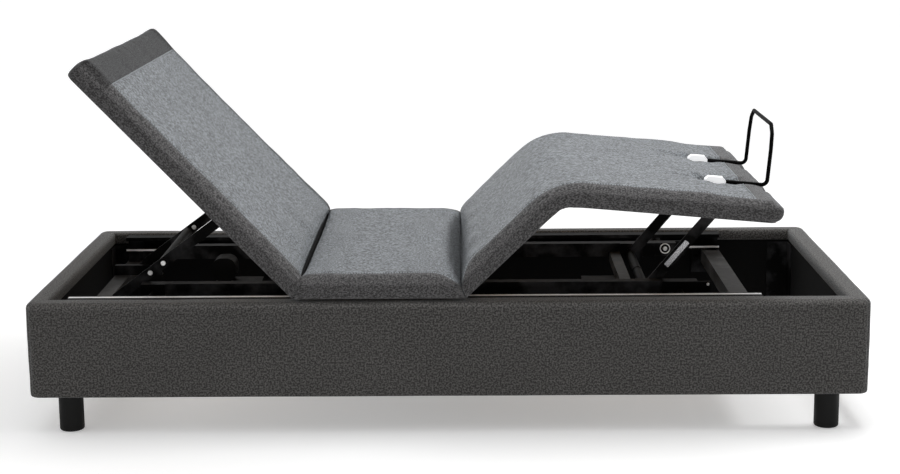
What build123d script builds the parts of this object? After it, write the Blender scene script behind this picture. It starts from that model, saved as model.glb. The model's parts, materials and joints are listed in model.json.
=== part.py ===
"""Adjustable bed base: an upholstered surround on four legs, with a wall-hugging carriage that
carries a folding deck (back, seat, thigh and calf sections) and the linkages and two linear
actuators that lift it.

Frame: +X towards the foot end, +Y across the bed, +Z up, origin on the floor under the centre.
The deck is modelled as it stands raised: back section up, legs bent over the knee."""

from build123d import *
from math import atan2, cos, degrees, hypot, radians, sin, tan
import os

os.makedirs("parts", exist_ok=True)

# ---------------------------------------------------------------- driving dimensions (mm, degrees)
BASE_LENGTH = 2030
BASE_WIDTH = 920
SURROUND_BOTTOM = 87
SURROUND_TOP = 322
WALL = 50
BOARD_THICK = 16
BOARD_INSET = 2
TURN_DOWN = 30
BOARD_GAP = 0.5
JOINT_GAP = 0.5
OVERCUT = 1
TUBE_WALL = 2.5
BOARD_Z = (92, 312)

LEG_RADIUS = 30
LEG_X = 920
LEG_Y = 426
LEG_EDGE = 6

DECK_HALF_WIDTH = 455
PAD_THICK = 54
PLY_THICK = 15
PLY_INSET = 14
DECK_UNDERSIDE = 328
HINGE_Z = 323
HINGE_DROP = DECK_UNDERSIDE - HINGE_Z

BACK_HINGE_X = -373
THIGH_HINGE_X = 48
BACK_LENGTH = 746
THIGH_LENGTH = 320
CALF_LENGTH = 520
BACK_TILT = 46.4
THIGH_TILT = 44.0
CALF_TILT = -5.1
BACK_BEVEL = 31.0
THIGH_BEVEL = 23.0

TRACK_OUTER_Y = 402
TRACK_INNER_Y = 362
TRACK_BOTTOM = 276
TRACK_TOP = 318
TRACK_WALL = 3
TRACK_HEAD_X = -925
TRACK_FOOT_X = 763
ROLLER_RADIUS = 17
ROLLER_Z = 297
HEAD_ROLLER_X = -740
FOOT_ROLLER_X = 580

RAIL_INNER_Y = 222
RAIL_OUTER_Y = 252
RAIL_BOTTOM = 285
RAIL_TOP = 322
RAIL_HEAD_X = -770
RAIL_FOOT_X = 624

ARM_Y = 211
ARM_THICK = 6
PIN_RADIUS = 5
RUNNING_GAP = 0.05

LINK_FOOT_X = -861
LINK_FOOT_Z = 263
LINK_UP_DECK = 245
LINK_DROP = 14
GLIDE_RADIUS = 7

LIFT_X = 497
LIFT_Z = 293
LIFT_LENGTH = 265
LIFT_TILT = 49.4
LABEL_UP = 120
TUBE_RADIUS = 12
JOURNAL_RADIUS = 8

BACK_CLEVIS_X = -13
BACK_CLEVIS_Z = 250
BRACKET_UP = 20
BRACKET_DROP = 130

LEG_ROD_Z = 205
CRANK_SWING = 23.2

BAR_RADIUS = 5
BAR_Y = 175
CLIP_ENDS = (365, 417)
CLIP_DEPTH = 14


# ---------------------------------------------------------------- placing helpers
def row_side(y):
    """Side plane of the whole bed at y: local x to the foot, local y up."""
    return Plane(origin=(0, y, 0), x_dir=(1, 0, 0), z_dir=(0, -1, 0))


def tilted_side(x, z, tilt):
    """Side planes at a pivot, with local x rising towards the foot by tilt degrees."""
    direction = (cos(radians(tilt)), 0, sin(radians(tilt)))
    return lambda y: Plane(origin=(x, y, z), x_dir=direction, z_dir=(0, -1, 0))


def back_side(y):
    """Side plane of the back section: local x up the section from its hinge, local y off it."""
    direction = (-cos(radians(BACK_TILT)), 0, sin(radians(BACK_TILT)))
    return Plane(origin=(BACK_HINGE_X, y, HINGE_Z), x_dir=direction, z_dir=(0, 1, 0))


def along(x, z, distance, tilt):
    """The point at a distance from (x, z) in the direction of tilt."""
    return x + distance * cos(radians(tilt)), z + distance * sin(radians(tilt))


def at_back(up, off):
    """Row position of a point of the back section."""
    tilt = radians(BACK_TILT)
    return BACK_HINGE_X - up * cos(tilt) + off * sin(tilt), HINGE_Z + up * sin(tilt) + off * cos(tilt)


thigh_side = tilted_side(THIGH_HINGE_X, HINGE_Z, THIGH_TILT)
KNEE_X, KNEE_Z = along(THIGH_HINGE_X, HINGE_Z, THIGH_LENGTH, THIGH_TILT)
calf_side = tilted_side(KNEE_X, KNEE_Z, CALF_TILT)
LINK_TOP_X, LINK_TOP_Z = at_back(LINK_UP_DECK, -LINK_DROP)
LINK_LENGTH = hypot(LINK_TOP_X - LINK_FOOT_X, LINK_TOP_Z - LINK_FOOT_Z)
lift_side = tilted_side(LIFT_X, LIFT_Z, LIFT_TILT)
TRUNNION_X, TRUNNION_Z = at_back(BRACKET_UP, -BRACKET_DROP)


def link_side(y):
    """Side plane of a back link: local x from its lower end to its upper end."""
    direction = (LINK_TOP_X - LINK_FOOT_X, 0, LINK_TOP_Z - LINK_FOOT_Z)
    return Plane(origin=(LINK_FOOT_X, y, LINK_FOOT_Z), x_dir=direction, z_dir=(0, -1, 0))


def actuator_side(y):
    """Side plane of the back actuator: local x from its trunnion to the clevis."""
    direction = (BACK_CLEVIS_X - TRUNNION_X, 0, BACK_CLEVIS_Z - TRUNNION_Z)
    return Plane(origin=(TRUNNION_X, y, TRUNNION_Z), x_dir=direction, z_dir=(0, -1, 0))


ACTUATOR_LENGTH = hypot(BACK_CLEVIS_X - TRUNNION_X, BACK_CLEVIS_Z - TRUNNION_Z)


# ---------------------------------------------------------------- shape helpers
def block(x, y, z, mode=Mode.ADD):
    """A box between two x, two y and two z values."""
    with BuildSketch(Plane.XY.offset(z[0])) as outline:
        with Locations(((x[0] + x[1]) / 2, (y[0] + y[1]) / 2)):
            Rectangle(x[1] - x[0], y[1] - y[0])
    extrude(outline.sketch, amount=z[1] - z[0], mode=mode)


def slab(side, points, y, mode=Mode.ADD):
    """A flat piece of a side outline, between two y values."""
    with BuildSketch(side((y[0] + y[1]) / 2)) as outline:
        with BuildLine():
            Polyline(*points, close=True)
        make_face()
    extrude(outline.sketch, amount=(y[1] - y[0]) / 2, both=True, mode=mode)


def rectangle(x, z):
    """Corners of a rectangle between two local x and two local y values of a side plane."""
    return [(x[0], z[0]), (x[1], z[0]), (x[1], z[1]), (x[0], z[1])]


def disc(side, centre, radius, y, mode=Mode.ADD):
    """A round piece across the bed, between two y values."""
    with BuildSketch(side((y[0] + y[1]) / 2)) as outline:
        with Locations(centre):
            Circle(radius)
    extrude(outline.sketch, amount=(y[1] - y[0]) / 2, both=True, mode=mode)


def rounded(side, centre, size, radius, y, mode=Mode.ADD):
    """A flat piece with a rounded rectangular outline, between two y values."""
    with BuildSketch(side((y[0] + y[1]) / 2)) as outline:
        with Locations(centre):
            RectangleRounded(size[0], size[1], radius)
    extrude(outline.sketch, amount=(y[1] - y[0]) / 2, both=True, mode=mode)


def bar(side, start, end, width, y, mode=Mode.ADD):
    """A flat bar with round ends between two side points, between two y values."""
    run = end[0] - start[0]
    rise = end[1] - start[1]
    middle = ((start[0] + end[0]) / 2, (start[1] + end[1]) / 2, 0)
    with BuildSketch(side((y[0] + y[1]) / 2)) as outline:
        with Locations(Location(middle, (0, 0, degrees(atan2(rise, run))))):
            SlotCenterToCenter(hypot(run, rise), width)
    extrude(outline.sketch, amount=(y[1] - y[0]) / 2, both=True, mode=mode)


def mirrored(low, high):
    """The two y spans at +y and at -y."""
    return (low, high), (-high, -low)


def save(piece, name):
    """Label a finished piece and write its STEP file."""
    piece.part.label = name
    export_step(piece.part, f"parts/{name}.step")


# ---------------------------------------------------------------- base: upholstered surround
def surround_cover(name, half_length, half_width, sign, along_y):
    """One padded cover of the surround, which wraps its board and is mitred at 45 degrees."""
    outer = half_width
    inner = half_width - WALL
    board_face = inner + BOARD_INSET
    board_back = board_face + BOARD_THICK
    turn_z = SURROUND_TOP - TURN_DOWN
    profile = [
        (outer, SURROUND_BOTTOM), (outer, SURROUND_TOP), (inner, SURROUND_TOP), (inner, turn_z),
        (board_face, turn_z), (board_face, BOARD_Z[1]), (board_back, BOARD_Z[1]),
        (board_back, BOARD_Z[0]), (board_face, BOARD_Z[0]), (board_face, SURROUND_BOTTOM),
    ]
    inward = (0, -sign, 0) if along_y else (sign, 0, 0)
    outward = (sign, 0, 0) if along_y else (0, sign, 0)
    with BuildPart() as cover:
        with BuildSketch(Plane(origin=(0, 0, 0), x_dir=outward, z_dir=inward)):
            with BuildLine():
                Polyline(*profile, close=True)
            make_face()
        extrude(amount=half_length, both=True)
        for end in (1, -1):
            waste = [(half_length, outer), (half_length - WALL, inner), (half_length, inner)]
            corner = [(end * run, sign * reach) for run, reach in waste]
            if along_y:
                corner = [(reach, run) for run, reach in corner]
            with BuildSketch(Plane.XY):
                with BuildLine():
                    Polyline(*corner, close=True)
                make_face()
            extrude(amount=SURROUND_TOP + OVERCUT, mode=Mode.SUBTRACT)
    save(cover, f"{name}_cover")


surround_cover("left_side", BASE_LENGTH / 2, BASE_WIDTH / 2, 1, False)
surround_cover("right_side", BASE_LENGTH / 2, BASE_WIDTH / 2, -1, False)
surround_cover("head_end", BASE_WIDTH / 2, BASE_LENGTH / 2, -1, True)
surround_cover("foot_end", BASE_WIDTH / 2, BASE_LENGTH / 2, 1, True)

INNER_X = BASE_LENGTH / 2 - WALL + BOARD_INSET
INNER_Y = BASE_WIDTH / 2 - WALL + BOARD_INSET
with BuildPart() as surround_boards:
    for y in mirrored(INNER_Y, INNER_Y + BOARD_THICK):
        block((-INNER_X - BOARD_THICK, INNER_X + BOARD_THICK), y, BOARD_Z)
    for x in mirrored(INNER_X, INNER_X + BOARD_THICK):
        block(x, (BOARD_GAP - INNER_Y, INNER_Y - BOARD_GAP), BOARD_Z)
save(surround_boards, "surround_boards")

# legs: turned plastic feet with a rounded floor edge
with BuildPart() as legs:
    with BuildSketch():
        with GridLocations(2 * LEG_X, 2 * LEG_Y, 2, 2):
            Circle(LEG_RADIUS)
    extrude(amount=SURROUND_BOTTOM)
    fillet(legs.edges().group_by(Axis.Z)[0], radius=LEG_EDGE)
save(legs, "legs")

# steel angles in the four inner corners, with their bolts
BRACKET_LEG = 60
BRACKET_THICK = 3
BRACKET_Z = (100, 285)
with BuildPart() as corner_brackets:
    for sx in (1, -1):
        for sy in (1, -1):
            x_out = sorted((sx * INNER_X, sx * (INNER_X - BRACKET_LEG)))
            y_out = sorted((sy * INNER_Y, sy * (INNER_Y - BRACKET_LEG)))
            block(x_out, sorted((sy * INNER_Y, sy * (INNER_Y - BRACKET_THICK))), BRACKET_Z)
            block(sorted((sx * INNER_X, sx * (INNER_X - BRACKET_THICK))), y_out, BRACKET_Z)
save(corner_brackets, "corner_brackets")

BOLT_HEAD_RADIUS = 7
BOLT_HEAD_HIGH = 4


# ---------------------------------------------------------------- base: tracks and cross tubes
TRACK_LIP = 6


def track(sign):
    """Lipped C channel, open towards the middle of the bed."""
    outer = sign * TRACK_OUTER_Y
    inner = sign * TRACK_INNER_Y
    ends = (TRACK_HEAD_X, TRACK_FOOT_X)
    block(ends, sorted((outer, inner)), (TRACK_BOTTOM, TRACK_TOP))
    hollow = sorted((outer - sign * TRACK_WALL, inner + sign * TRACK_WALL))
    block(ends, hollow, (TRACK_BOTTOM + TRACK_WALL, TRACK_TOP - TRACK_WALL), Mode.SUBTRACT)
    mouth = sorted((inner, inner + sign * TRACK_WALL))
    lips = (TRACK_BOTTOM + TRACK_WALL + TRACK_LIP, TRACK_TOP - TRACK_WALL - TRACK_LIP)
    block(ends, mouth, lips, Mode.SUBTRACT)


with BuildPart() as tracks:
    track(1)
    track(-1)
save(tracks, "tracks")


def cross_tube(x, z, y_half):
    """A rectangular tube across the bed."""
    block(x, (-y_half, y_half), z)
    hollow_x = (x[0] + TUBE_WALL, x[1] - TUBE_WALL)
    block(hollow_x, (-y_half, y_half), (z[0] + TUBE_WALL, z[1] - TUBE_WALL), Mode.SUBTRACT)


HEAD_TUBE_X = (-925, -885)
HEAD_TUBE_Z = (207, 247)
FOOT_TUBE_X = (716, 763)
FOOT_TUBE_Z = (232, 272)
TUBE_HALF = 400
with BuildPart() as track_cross_tubes:
    cross_tube(HEAD_TUBE_X, HEAD_TUBE_Z, TUBE_HALF)
    cross_tube(FOOT_TUBE_X, FOOT_TUBE_Z, TUBE_HALF)
save(track_cross_tubes, "track_cross_tubes")

# brackets that carry the tubes and tracks from the side boards, and posts between tubes and tracks
FRAME_BRACKET_X = ((-905, -845), (-30, 30), (690, 750))
FRAME_BRACKET_LOW = 200
HEAD_POST_X = (-920, -890)
FOOT_POST_X = (724, 755)
POST_INSET = 4
with BuildPart() as frame_brackets:
    for low, high in mirrored(TRACK_OUTER_Y, INNER_Y):
        for x in FRAME_BRACKET_X:
            block(x, (low, high), (FRAME_BRACKET_LOW, SURROUND_TOP - TURN_DOWN))
    for y in mirrored(TRACK_INNER_Y + POST_INSET, TRACK_OUTER_Y):
        block(HEAD_POST_X, y, (HEAD_TUBE_Z[1], TRACK_BOTTOM))
        block(FOOT_POST_X, y, (FOOT_TUBE_Z[1], TRACK_BOTTOM))
save(frame_brackets, "frame_brackets")

FRAME_BOLT_X = (-860, -15, 15, 703)
FRAME_BOLT_Z = 240
CORNER_BOLT_IN = 38
CORNER_BOLT_Z = (130, 250)

with BuildPart() as base_bolts:
    for y in mirrored(TRACK_OUTER_Y - BOLT_HEAD_HIGH, TRACK_OUTER_Y):
        for x in FRAME_BOLT_X:
            disc(row_side, (x, FRAME_BOLT_Z), BOLT_HEAD_RADIUS, y)
    bracket_face = INNER_Y - BRACKET_THICK
    for y in mirrored(bracket_face - BOLT_HEAD_HIGH, bracket_face):
        for x in (CORNER_BOLT_IN - INNER_X, INNER_X - CORNER_BOLT_IN):
            for z in CORNER_BOLT_Z:
                disc(row_side, (x, z), BOLT_HEAD_RADIUS, y)
save(base_bolts, "base_bolts")

# short guides for the lower ends of the back links, open towards the links
GUIDE_INNER = (250, 271.6)
GUIDE_X = (-925, -795)
GUIDE_WALL = 3
GUIDE_DEEP = 17
GUIDE_MOUTH_Y = ARM_Y - 4
with BuildPart() as link_guides:
    for low, high in mirrored(GUIDE_MOUTH_Y - GUIDE_DEEP, GUIDE_MOUTH_Y):
        block(GUIDE_X, (low, high), (GUIDE_INNER[0] - GUIDE_WALL, GUIDE_INNER[1] + GUIDE_WALL))
        opening = (low + GUIDE_WALL, high) if low > 0 else (low, high - GUIDE_WALL)
        block(GUIDE_X, opening, GUIDE_INNER, Mode.SUBTRACT)
save(link_guides, "link_guides")


# ---------------------------------------------------------------- carriage
with BuildPart() as carriage_rails:
    rail_x = (RAIL_HEAD_X, RAIL_FOOT_X)
    hollow_z = (RAIL_BOTTOM + TUBE_WALL, RAIL_TOP - TUBE_WALL)
    for low, high in mirrored(RAIL_INNER_Y, RAIL_OUTER_Y):
        block(rail_x, (low, high), (RAIL_BOTTOM, RAIL_TOP))
        block(rail_x, (low + TUBE_WALL, high - TUBE_WALL), hollow_z, Mode.SUBTRACT)
save(carriage_rails, "carriage_rails")

SEAT_TUBES_X = ((-310, -280), (-28, 2), (60, 90))
SEAT_TUBES_Z = (292, 322)
LIFT_TUBE_X = (440, 468)
LIFT_TUBE_Z = (272, 300)
with BuildPart() as carriage_cross_tubes:
    for x in SEAT_TUBES_X:
        cross_tube(x, SEAT_TUBES_Z, RAIL_INNER_Y)
    cross_tube(LIFT_TUBE_X, LIFT_TUBE_Z, RAIL_INNER_Y)
save(carriage_cross_tubes, "carriage_cross_tubes")

# stub axles with their plates; the foot pair hangs on longer plates
AXLE_RADIUS = 5
PLATE_THICK = 5
FOOT_PLATE_X = (535, 655)
HEAD_PLATE_HALF = 30
AXLE_END_Y = 395
COLLAR_END_Y = 364.5
COLLAR_RADIUS = 8
ROLLER_Y = (366, 392)
with BuildPart() as roller_axles:
    for y in mirrored(RAIL_OUTER_Y, RAIL_OUTER_Y + PLATE_THICK):
        block(FOOT_PLATE_X, y, (TRACK_BOTTOM, RAIL_TOP))
        block((HEAD_ROLLER_X - HEAD_PLATE_HALF, HEAD_ROLLER_X + HEAD_PLATE_HALF), y, (RAIL_BOTTOM, RAIL_TOP))
    for y in mirrored(RAIL_OUTER_Y + PLATE_THICK, AXLE_END_Y):
        for x in (HEAD_ROLLER_X, FOOT_ROLLER_X):
            disc(row_side, (x, ROLLER_Z), AXLE_RADIUS, y)
    for y in mirrored(RAIL_OUTER_Y + PLATE_THICK, COLLAR_END_Y):
        for x in (HEAD_ROLLER_X, FOOT_ROLLER_X):
            disc(row_side, (x, ROLLER_Z), COLLAR_RADIUS, y)
save(roller_axles, "roller_axles")

for end_name, x in (("head", HEAD_ROLLER_X), ("foot", FOOT_ROLLER_X)):
    with BuildPart() as rollers:
        for y in mirrored(*ROLLER_Y):
            disc(row_side, (x, ROLLER_Z), ROLLER_RADIUS, y)
            disc(row_side, (x, ROLLER_Z), AXLE_RADIUS + RUNNING_GAP, y, Mode.SUBTRACT)
    save(rollers, f"{end_name}_rollers")

# blocks between the rails and the seat board, and the plates that hold the torque tube
SEAT_BLOCKS_X = ((-345, -295), (-60, -10))
LIFT_PLATE_HALF = 27
LIFT_PLATE_DROP = 22
LIFT_PLATE_THICK = 4.5
with BuildPart() as carriage_brackets:
    for y in mirrored(RAIL_INNER_Y, RAIL_OUTER_Y):
        for x in SEAT_BLOCKS_X:
            block(x, y, (RAIL_TOP, DECK_UNDERSIDE))
    for y in mirrored(RAIL_INNER_Y - LIFT_PLATE_THICK, RAIL_INNER_Y):
        block((LIFT_X - LIFT_PLATE_HALF, LIFT_X + LIFT_PLATE_HALF), y, (LIFT_Z - LIFT_PLATE_DROP, RAIL_TOP))
        disc(row_side, (LIFT_X, LIFT_Z), JOURNAL_RADIUS + RUNNING_GAP, y, Mode.SUBTRACT)
save(carriage_brackets, "carriage_brackets")


def bevel(tilt, off):
    """How far a bevelled pad end stands back from its hinge, at a height off the hinge plane."""
    return off * tan(radians(tilt)) + JOINT_GAP


PAD_LOW = HINGE_DROP
PAD_HIGH = HINGE_DROP + PAD_THICK
PLY_HIGH = HINGE_DROP + PLY_THICK
PLY_HALF = DECK_HALF_WIDTH - PLY_INSET
KNEE_PLY_GAP = 2
GROOVE_HALF = 15
GROOVE_LEAD = 5


def deck_section(name, side, pad_points, ply_ends):
    """A foam pad in its cover, wrapped round the edges of an inset plywood board."""
    ply = rectangle(ply_ends, (PAD_LOW, PLY_HIGH))
    with BuildPart() as board:
        slab(side, ply, (-PLY_HALF, PLY_HALF))
    save(board, f"{name}_board")
    with BuildPart() as pad:
        slab(side, pad_points, (-DECK_HALF_WIDTH, DECK_HALF_WIDTH))
        slab(side, ply, (-PLY_HALF, PLY_HALF), Mode.SUBTRACT)
        if name == "calf":
            groove_x = (CLIP_ENDS[0] - GROOVE_LEAD, CALF_LENGTH + OVERCUT)
            groove = rectangle(groove_x, (PAD_HIGH - CLIP_DEPTH, PAD_HIGH + OVERCUT))
            for y in mirrored(BAR_Y - GROOVE_HALF, BAR_Y + GROOVE_HALF):
                slab(side, groove, y, Mode.SUBTRACT)
    save(pad, f"{name}_pad")


def seat_side(y):
    """Side plane of the seat: local x to the foot from the back hinge, local y off the hinge plane."""
    return Plane(origin=(BACK_HINGE_X, y, HINGE_Z), x_dir=(1, 0, 0), z_dir=(0, -1, 0))


SEAT_LENGTH = THIGH_HINGE_X - BACK_HINGE_X
deck_section("seat", seat_side, [
    (bevel(BACK_BEVEL, PAD_LOW), PAD_LOW), (SEAT_LENGTH - bevel(THIGH_BEVEL, PAD_LOW), PAD_LOW),
    (SEAT_LENGTH - bevel(THIGH_BEVEL, PAD_HIGH), PAD_HIGH), (bevel(BACK_BEVEL, PAD_HIGH), PAD_HIGH),
], (PLY_INSET, SEAT_LENGTH - PLY_INSET))
deck_section("back", back_side, [
    (bevel(BACK_BEVEL, PAD_LOW), PAD_LOW), (BACK_LENGTH, PAD_LOW), (BACK_LENGTH, PAD_HIGH),
    (bevel(BACK_BEVEL, PAD_HIGH), PAD_HIGH),
], (PLY_INSET, BACK_LENGTH - PLY_INSET))
deck_section("thigh", thigh_side, [
    (bevel(THIGH_BEVEL, PAD_LOW), PAD_LOW), (THIGH_LENGTH - JOINT_GAP, PAD_LOW),
    (THIGH_LENGTH - JOINT_GAP, PAD_HIGH), (bevel(THIGH_BEVEL, PAD_HIGH), PAD_HIGH),
], (PLY_INSET, THIGH_LENGTH - KNEE_PLY_GAP))
calf_outline = rectangle((JOINT_GAP, CALF_LENGTH), (PAD_LOW, PAD_HIGH))
deck_section("calf", calf_side, calf_outline, (KNEE_PLY_GAP, CALF_LENGTH - PLY_INSET))


# ---------------------------------------------------------------- deck hinges
HINGE_Y = (110, 330)
KNUCKLE_RADIUS = 5
HINGE_PIN_RADIUS = 3
LEAF_LENGTH = 48
LEAF_THICK = 3
LEAF_HALF = 32
LEAF_START = KNUCKLE_RADIUS + 2
TONGUE_HALF = 14
TONGUE_OVERLAP = 1
TONGUE_GAP = 0.3
SCREW_HALF = 4
SCREW_HIGH = 1.5
SCREW_PLACES = ((-20, 32), (0, 40), (20, 32))


def leaf(side, direction, spans, half_gap):
    """Hinge leaves under a board: a plate, its tongues and the knuckles round the pin."""
    heights = (HINGE_DROP - LEAF_THICK, HINGE_DROP)
    plate = rectangle(sorted((direction * LEAF_START, direction * LEAF_LENGTH)), heights)
    tongue = rectangle(sorted((0, direction * (LEAF_START + TONGUE_OVERLAP))), heights)
    for centre in (*HINGE_Y, *(-y for y in HINGE_Y)):
        slab(side, plate, (centre - LEAF_HALF, centre + LEAF_HALF))
        for low, high in spans:
            span = (centre + low + half_gap, centre + high - half_gap)
            slab(side, tongue, span)
            disc(side, (0, 0), KNUCKLE_RADIUS, span)
            disc(side, (0, 0), HINGE_PIN_RADIUS + RUNNING_GAP, span, Mode.SUBTRACT)


def leaf_screws(side, direction):
    """Three screw heads under each hinge leaf."""
    plate_low = HINGE_DROP - LEAF_THICK
    for centre in (*HINGE_Y, *(-y for y in HINGE_Y)):
        for shift, distance in SCREW_PLACES:
            up = direction * distance
            head = rectangle((up - SCREW_HALF, up + SCREW_HALF), (plate_low - SCREW_HIGH, plate_low))
            slab(side, head, (centre + shift - SCREW_HALF, centre + shift + SCREW_HALF))


OUTER_SPANS = ((-LEAF_HALF, -TONGUE_HALF), (TONGUE_HALF, LEAF_HALF))
INNER_SPANS = ((-TONGUE_HALF, TONGUE_HALF),)


def hinge_pins(side):
    """The pins of one hinge line."""
    for centre in (*HINGE_Y, *(-y for y in HINGE_Y)):
        disc(side, (0, 0), HINGE_PIN_RADIUS, (centre - LEAF_HALF - 1, centre + LEAF_HALF + 1))


def thigh_seat_side(y):
    """Side plane of the seat at the thigh hinge."""
    return Plane(origin=(THIGH_HINGE_X, y, HINGE_Z), x_dir=(1, 0, 0), z_dir=(0, -1, 0))


thigh_knee_side = tilted_side(KNEE_X, KNEE_Z, THIGH_TILT)

with BuildPart() as seat_hinge_leaves:
    leaf(seat_side, 1, OUTER_SPANS, 0)
    leaf(thigh_seat_side, -1, OUTER_SPANS, 0)
save(seat_hinge_leaves, "seat_hinge_leaves")
with BuildPart() as back_hinge_leaves:
    leaf(back_side, 1, INNER_SPANS, TONGUE_GAP)
save(back_hinge_leaves, "back_hinge_leaves")
with BuildPart() as thigh_hinge_leaves:
    leaf(thigh_side, 1, INNER_SPANS, TONGUE_GAP)
    leaf(thigh_knee_side, -1, OUTER_SPANS, 0)
save(thigh_hinge_leaves, "thigh_hinge_leaves")
with BuildPart() as calf_hinge_leaves:
    leaf(calf_side, 1, INNER_SPANS, TONGUE_GAP)
save(calf_hinge_leaves, "calf_hinge_leaves")

with BuildPart() as seat_hinge_fasteners:
    hinge_pins(seat_side)
    hinge_pins(thigh_seat_side)
    leaf_screws(seat_side, 1)
    leaf_screws(thigh_seat_side, -1)
save(seat_hinge_fasteners, "seat_hinge_fasteners")
with BuildPart() as back_hinge_screws:
    leaf_screws(back_side, 1)
save(back_hinge_screws, "back_hinge_screws")
with BuildPart() as thigh_hinge_fasteners:
    hinge_pins(thigh_knee_side)
    leaf_screws(thigh_side, 1)
    leaf_screws(thigh_knee_side, -1)
save(thigh_hinge_fasteners, "thigh_hinge_fasteners")
with BuildPart() as calf_hinge_screws:
    leaf_screws(calf_side, 1)
save(calf_hinge_screws, "calf_hinge_screws")


# ---------------------------------------------------------------- back links
LINK_WIDTH = 26
LINK_TIP_WIDTH = 18
LINK_TIP_END = 30
GLIDE_LONG = 13
ARM_SPANS = mirrored(ARM_Y - ARM_THICK / 2, ARM_Y + ARM_THICK / 2)
with BuildPart() as back_links:
    for y in ARM_SPANS:
        bar(link_side, (LINK_WIDTH, 0), (LINK_LENGTH, 0), LINK_WIDTH, y)
        bar(link_side, (0, 0), (LINK_TIP_END, 0), LINK_TIP_WIDTH, y)
        disc(link_side, (LINK_LENGTH, 0), PIN_RADIUS + RUNNING_GAP, y, Mode.SUBTRACT)
save(back_links, "back_links")

# nylon glides at the lower ends, which run in the guides
with BuildPart() as link_glides:
    for y in mirrored(ARM_Y - ARM_THICK / 2 - GLIDE_LONG, ARM_Y - ARM_THICK / 2):
        disc(link_side, (0, 0), GLIDE_RADIUS, y)
save(link_glides, "link_glides")

OUTER_BOLTS = (0, 135, 177)
INNER_BOLTS = (152, 194)
LINK_TUBE_UP = 173
LINK_TUBE_WALL = 2
LINK_BOLT_RADIUS = 6
BETWEEN_ARMS = (ARM_THICK / 2 - ARM_Y, ARM_Y - ARM_THICK / 2)
with BuildPart() as link_cross_tube:
    disc(link_side, (LINK_TUBE_UP, 0), TUBE_RADIUS, BETWEEN_ARMS)
    disc(link_side, (LINK_TUBE_UP, 0), TUBE_RADIUS - LINK_TUBE_WALL, BETWEEN_ARMS, Mode.SUBTRACT)
save(link_cross_tube, "link_cross_tube")

with BuildPart() as link_bolts:
    for y in mirrored(ARM_Y + ARM_THICK / 2, ARM_Y + ARM_THICK / 2 + BOLT_HEAD_HIGH):
        for up in OUTER_BOLTS:
            disc(link_side, (up, 0), LINK_BOLT_RADIUS, y)
    for y in mirrored(ARM_Y - ARM_THICK / 2 - BOLT_HEAD_HIGH, ARM_Y - ARM_THICK / 2):
        for up in INNER_BOLTS:
            disc(link_side, (up, 0), LINK_BOLT_RADIUS, y)
save(link_bolts, "link_bolts")

# clevis brackets under the back board, with their pins
EAR_GAPS = ((ARM_Y - 8, ARM_Y - 3.5), (ARM_Y + 3.5, ARM_Y + 8))
PIN_REACH = 9


def ear_outline(centre, foot_half, foot, tip_half, tip):
    """Outline of a bracket ear that narrows from its foot to its tip."""
    foot_ends = [(centre - foot_half, foot), (centre + foot_half, foot)]
    return [*foot_ends, (centre + tip_half, tip), (centre - tip_half, tip)]


with BuildPart() as link_brackets:
    for low, high in EAR_GAPS:
        for y in mirrored(low, high):
            ear = ear_outline(LINK_UP_DECK, 26, PAD_LOW, 9, -LINK_DROP - 8)
            slab(back_side, ear, y)
            disc(back_side, (LINK_UP_DECK, -LINK_DROP), PIN_RADIUS, y, Mode.SUBTRACT)
save(link_brackets, "link_brackets")
with BuildPart() as back_deck_pins:
    for y in mirrored(ARM_Y - PIN_REACH, ARM_Y + PIN_REACH):
        disc(back_side, (LINK_UP_DECK, -LINK_DROP), PIN_RADIUS, y)
    disc(back_side, (BRACKET_UP, -BRACKET_DROP), PIN_RADIUS, (-40, 40))
save(back_deck_pins, "back_deck_pins")


# ---------------------------------------------------------------- leg lift
with BuildPart() as torque_tube:
    disc(lift_side, (0, 0), TUBE_RADIUS, BETWEEN_ARMS)
    for y in mirrored(BETWEEN_ARMS[1], RAIL_INNER_Y - JOINT_GAP):
        disc(lift_side, (0, 0), JOURNAL_RADIUS, y)
save(torque_tube, "torque_tube")

EYE_RADIUS = 8.5
LIFT_WIDTH = 27
with BuildPart() as lift_arms:
    for y in ARM_SPANS:
        bar(lift_side, (0, 0), (LIFT_LENGTH, 0), LIFT_WIDTH, y)
        disc(lift_side, (0, 0), JOURNAL_RADIUS, y, Mode.SUBTRACT)
        disc(lift_side, (LIFT_LENGTH, 0), EYE_RADIUS, y, Mode.SUBTRACT)
save(lift_arms, "lift_arms")

# plain rating plate stuck to the near arm
LABEL_THICK = 0.4
LABEL_SIZE = (81, 13)
LABEL_CORNER = 2
with BuildPart() as arm_label:
    y = (-ARM_Y - ARM_THICK / 2 - LABEL_THICK, -ARM_Y - ARM_THICK / 2)
    rounded(lift_side, (LABEL_UP, 0), LABEL_SIZE, LABEL_CORNER, y)
save(arm_label, "arm_label")

# slotted crank on the middle of the torque tube
CRANK_DROP = LIFT_Z - LEG_ROD_Z
crank_side = tilted_side(LIFT_X, LIFT_Z, CRANK_SWING - 90)
SLOT_NEAR = CRANK_DROP - 1
SLOT_FAR = CRANK_DROP / cos(radians(CRANK_SWING)) + 3
SLOT_WIDTH = 2 * PIN_RADIUS + 4
CRANK_Y = (-5, 5)
with BuildPart() as lift_crank:
    bar(crank_side, (0, 0), (SLOT_FAR, 0), LIFT_WIDTH, CRANK_Y)
    disc(crank_side, (0, 0), TUBE_RADIUS, CRANK_Y, Mode.SUBTRACT)
    bar(crank_side, (SLOT_NEAR, 0), (SLOT_FAR, 0), SLOT_WIDTH, CRANK_Y, Mode.SUBTRACT)
save(lift_crank, "lift_crank")

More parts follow.
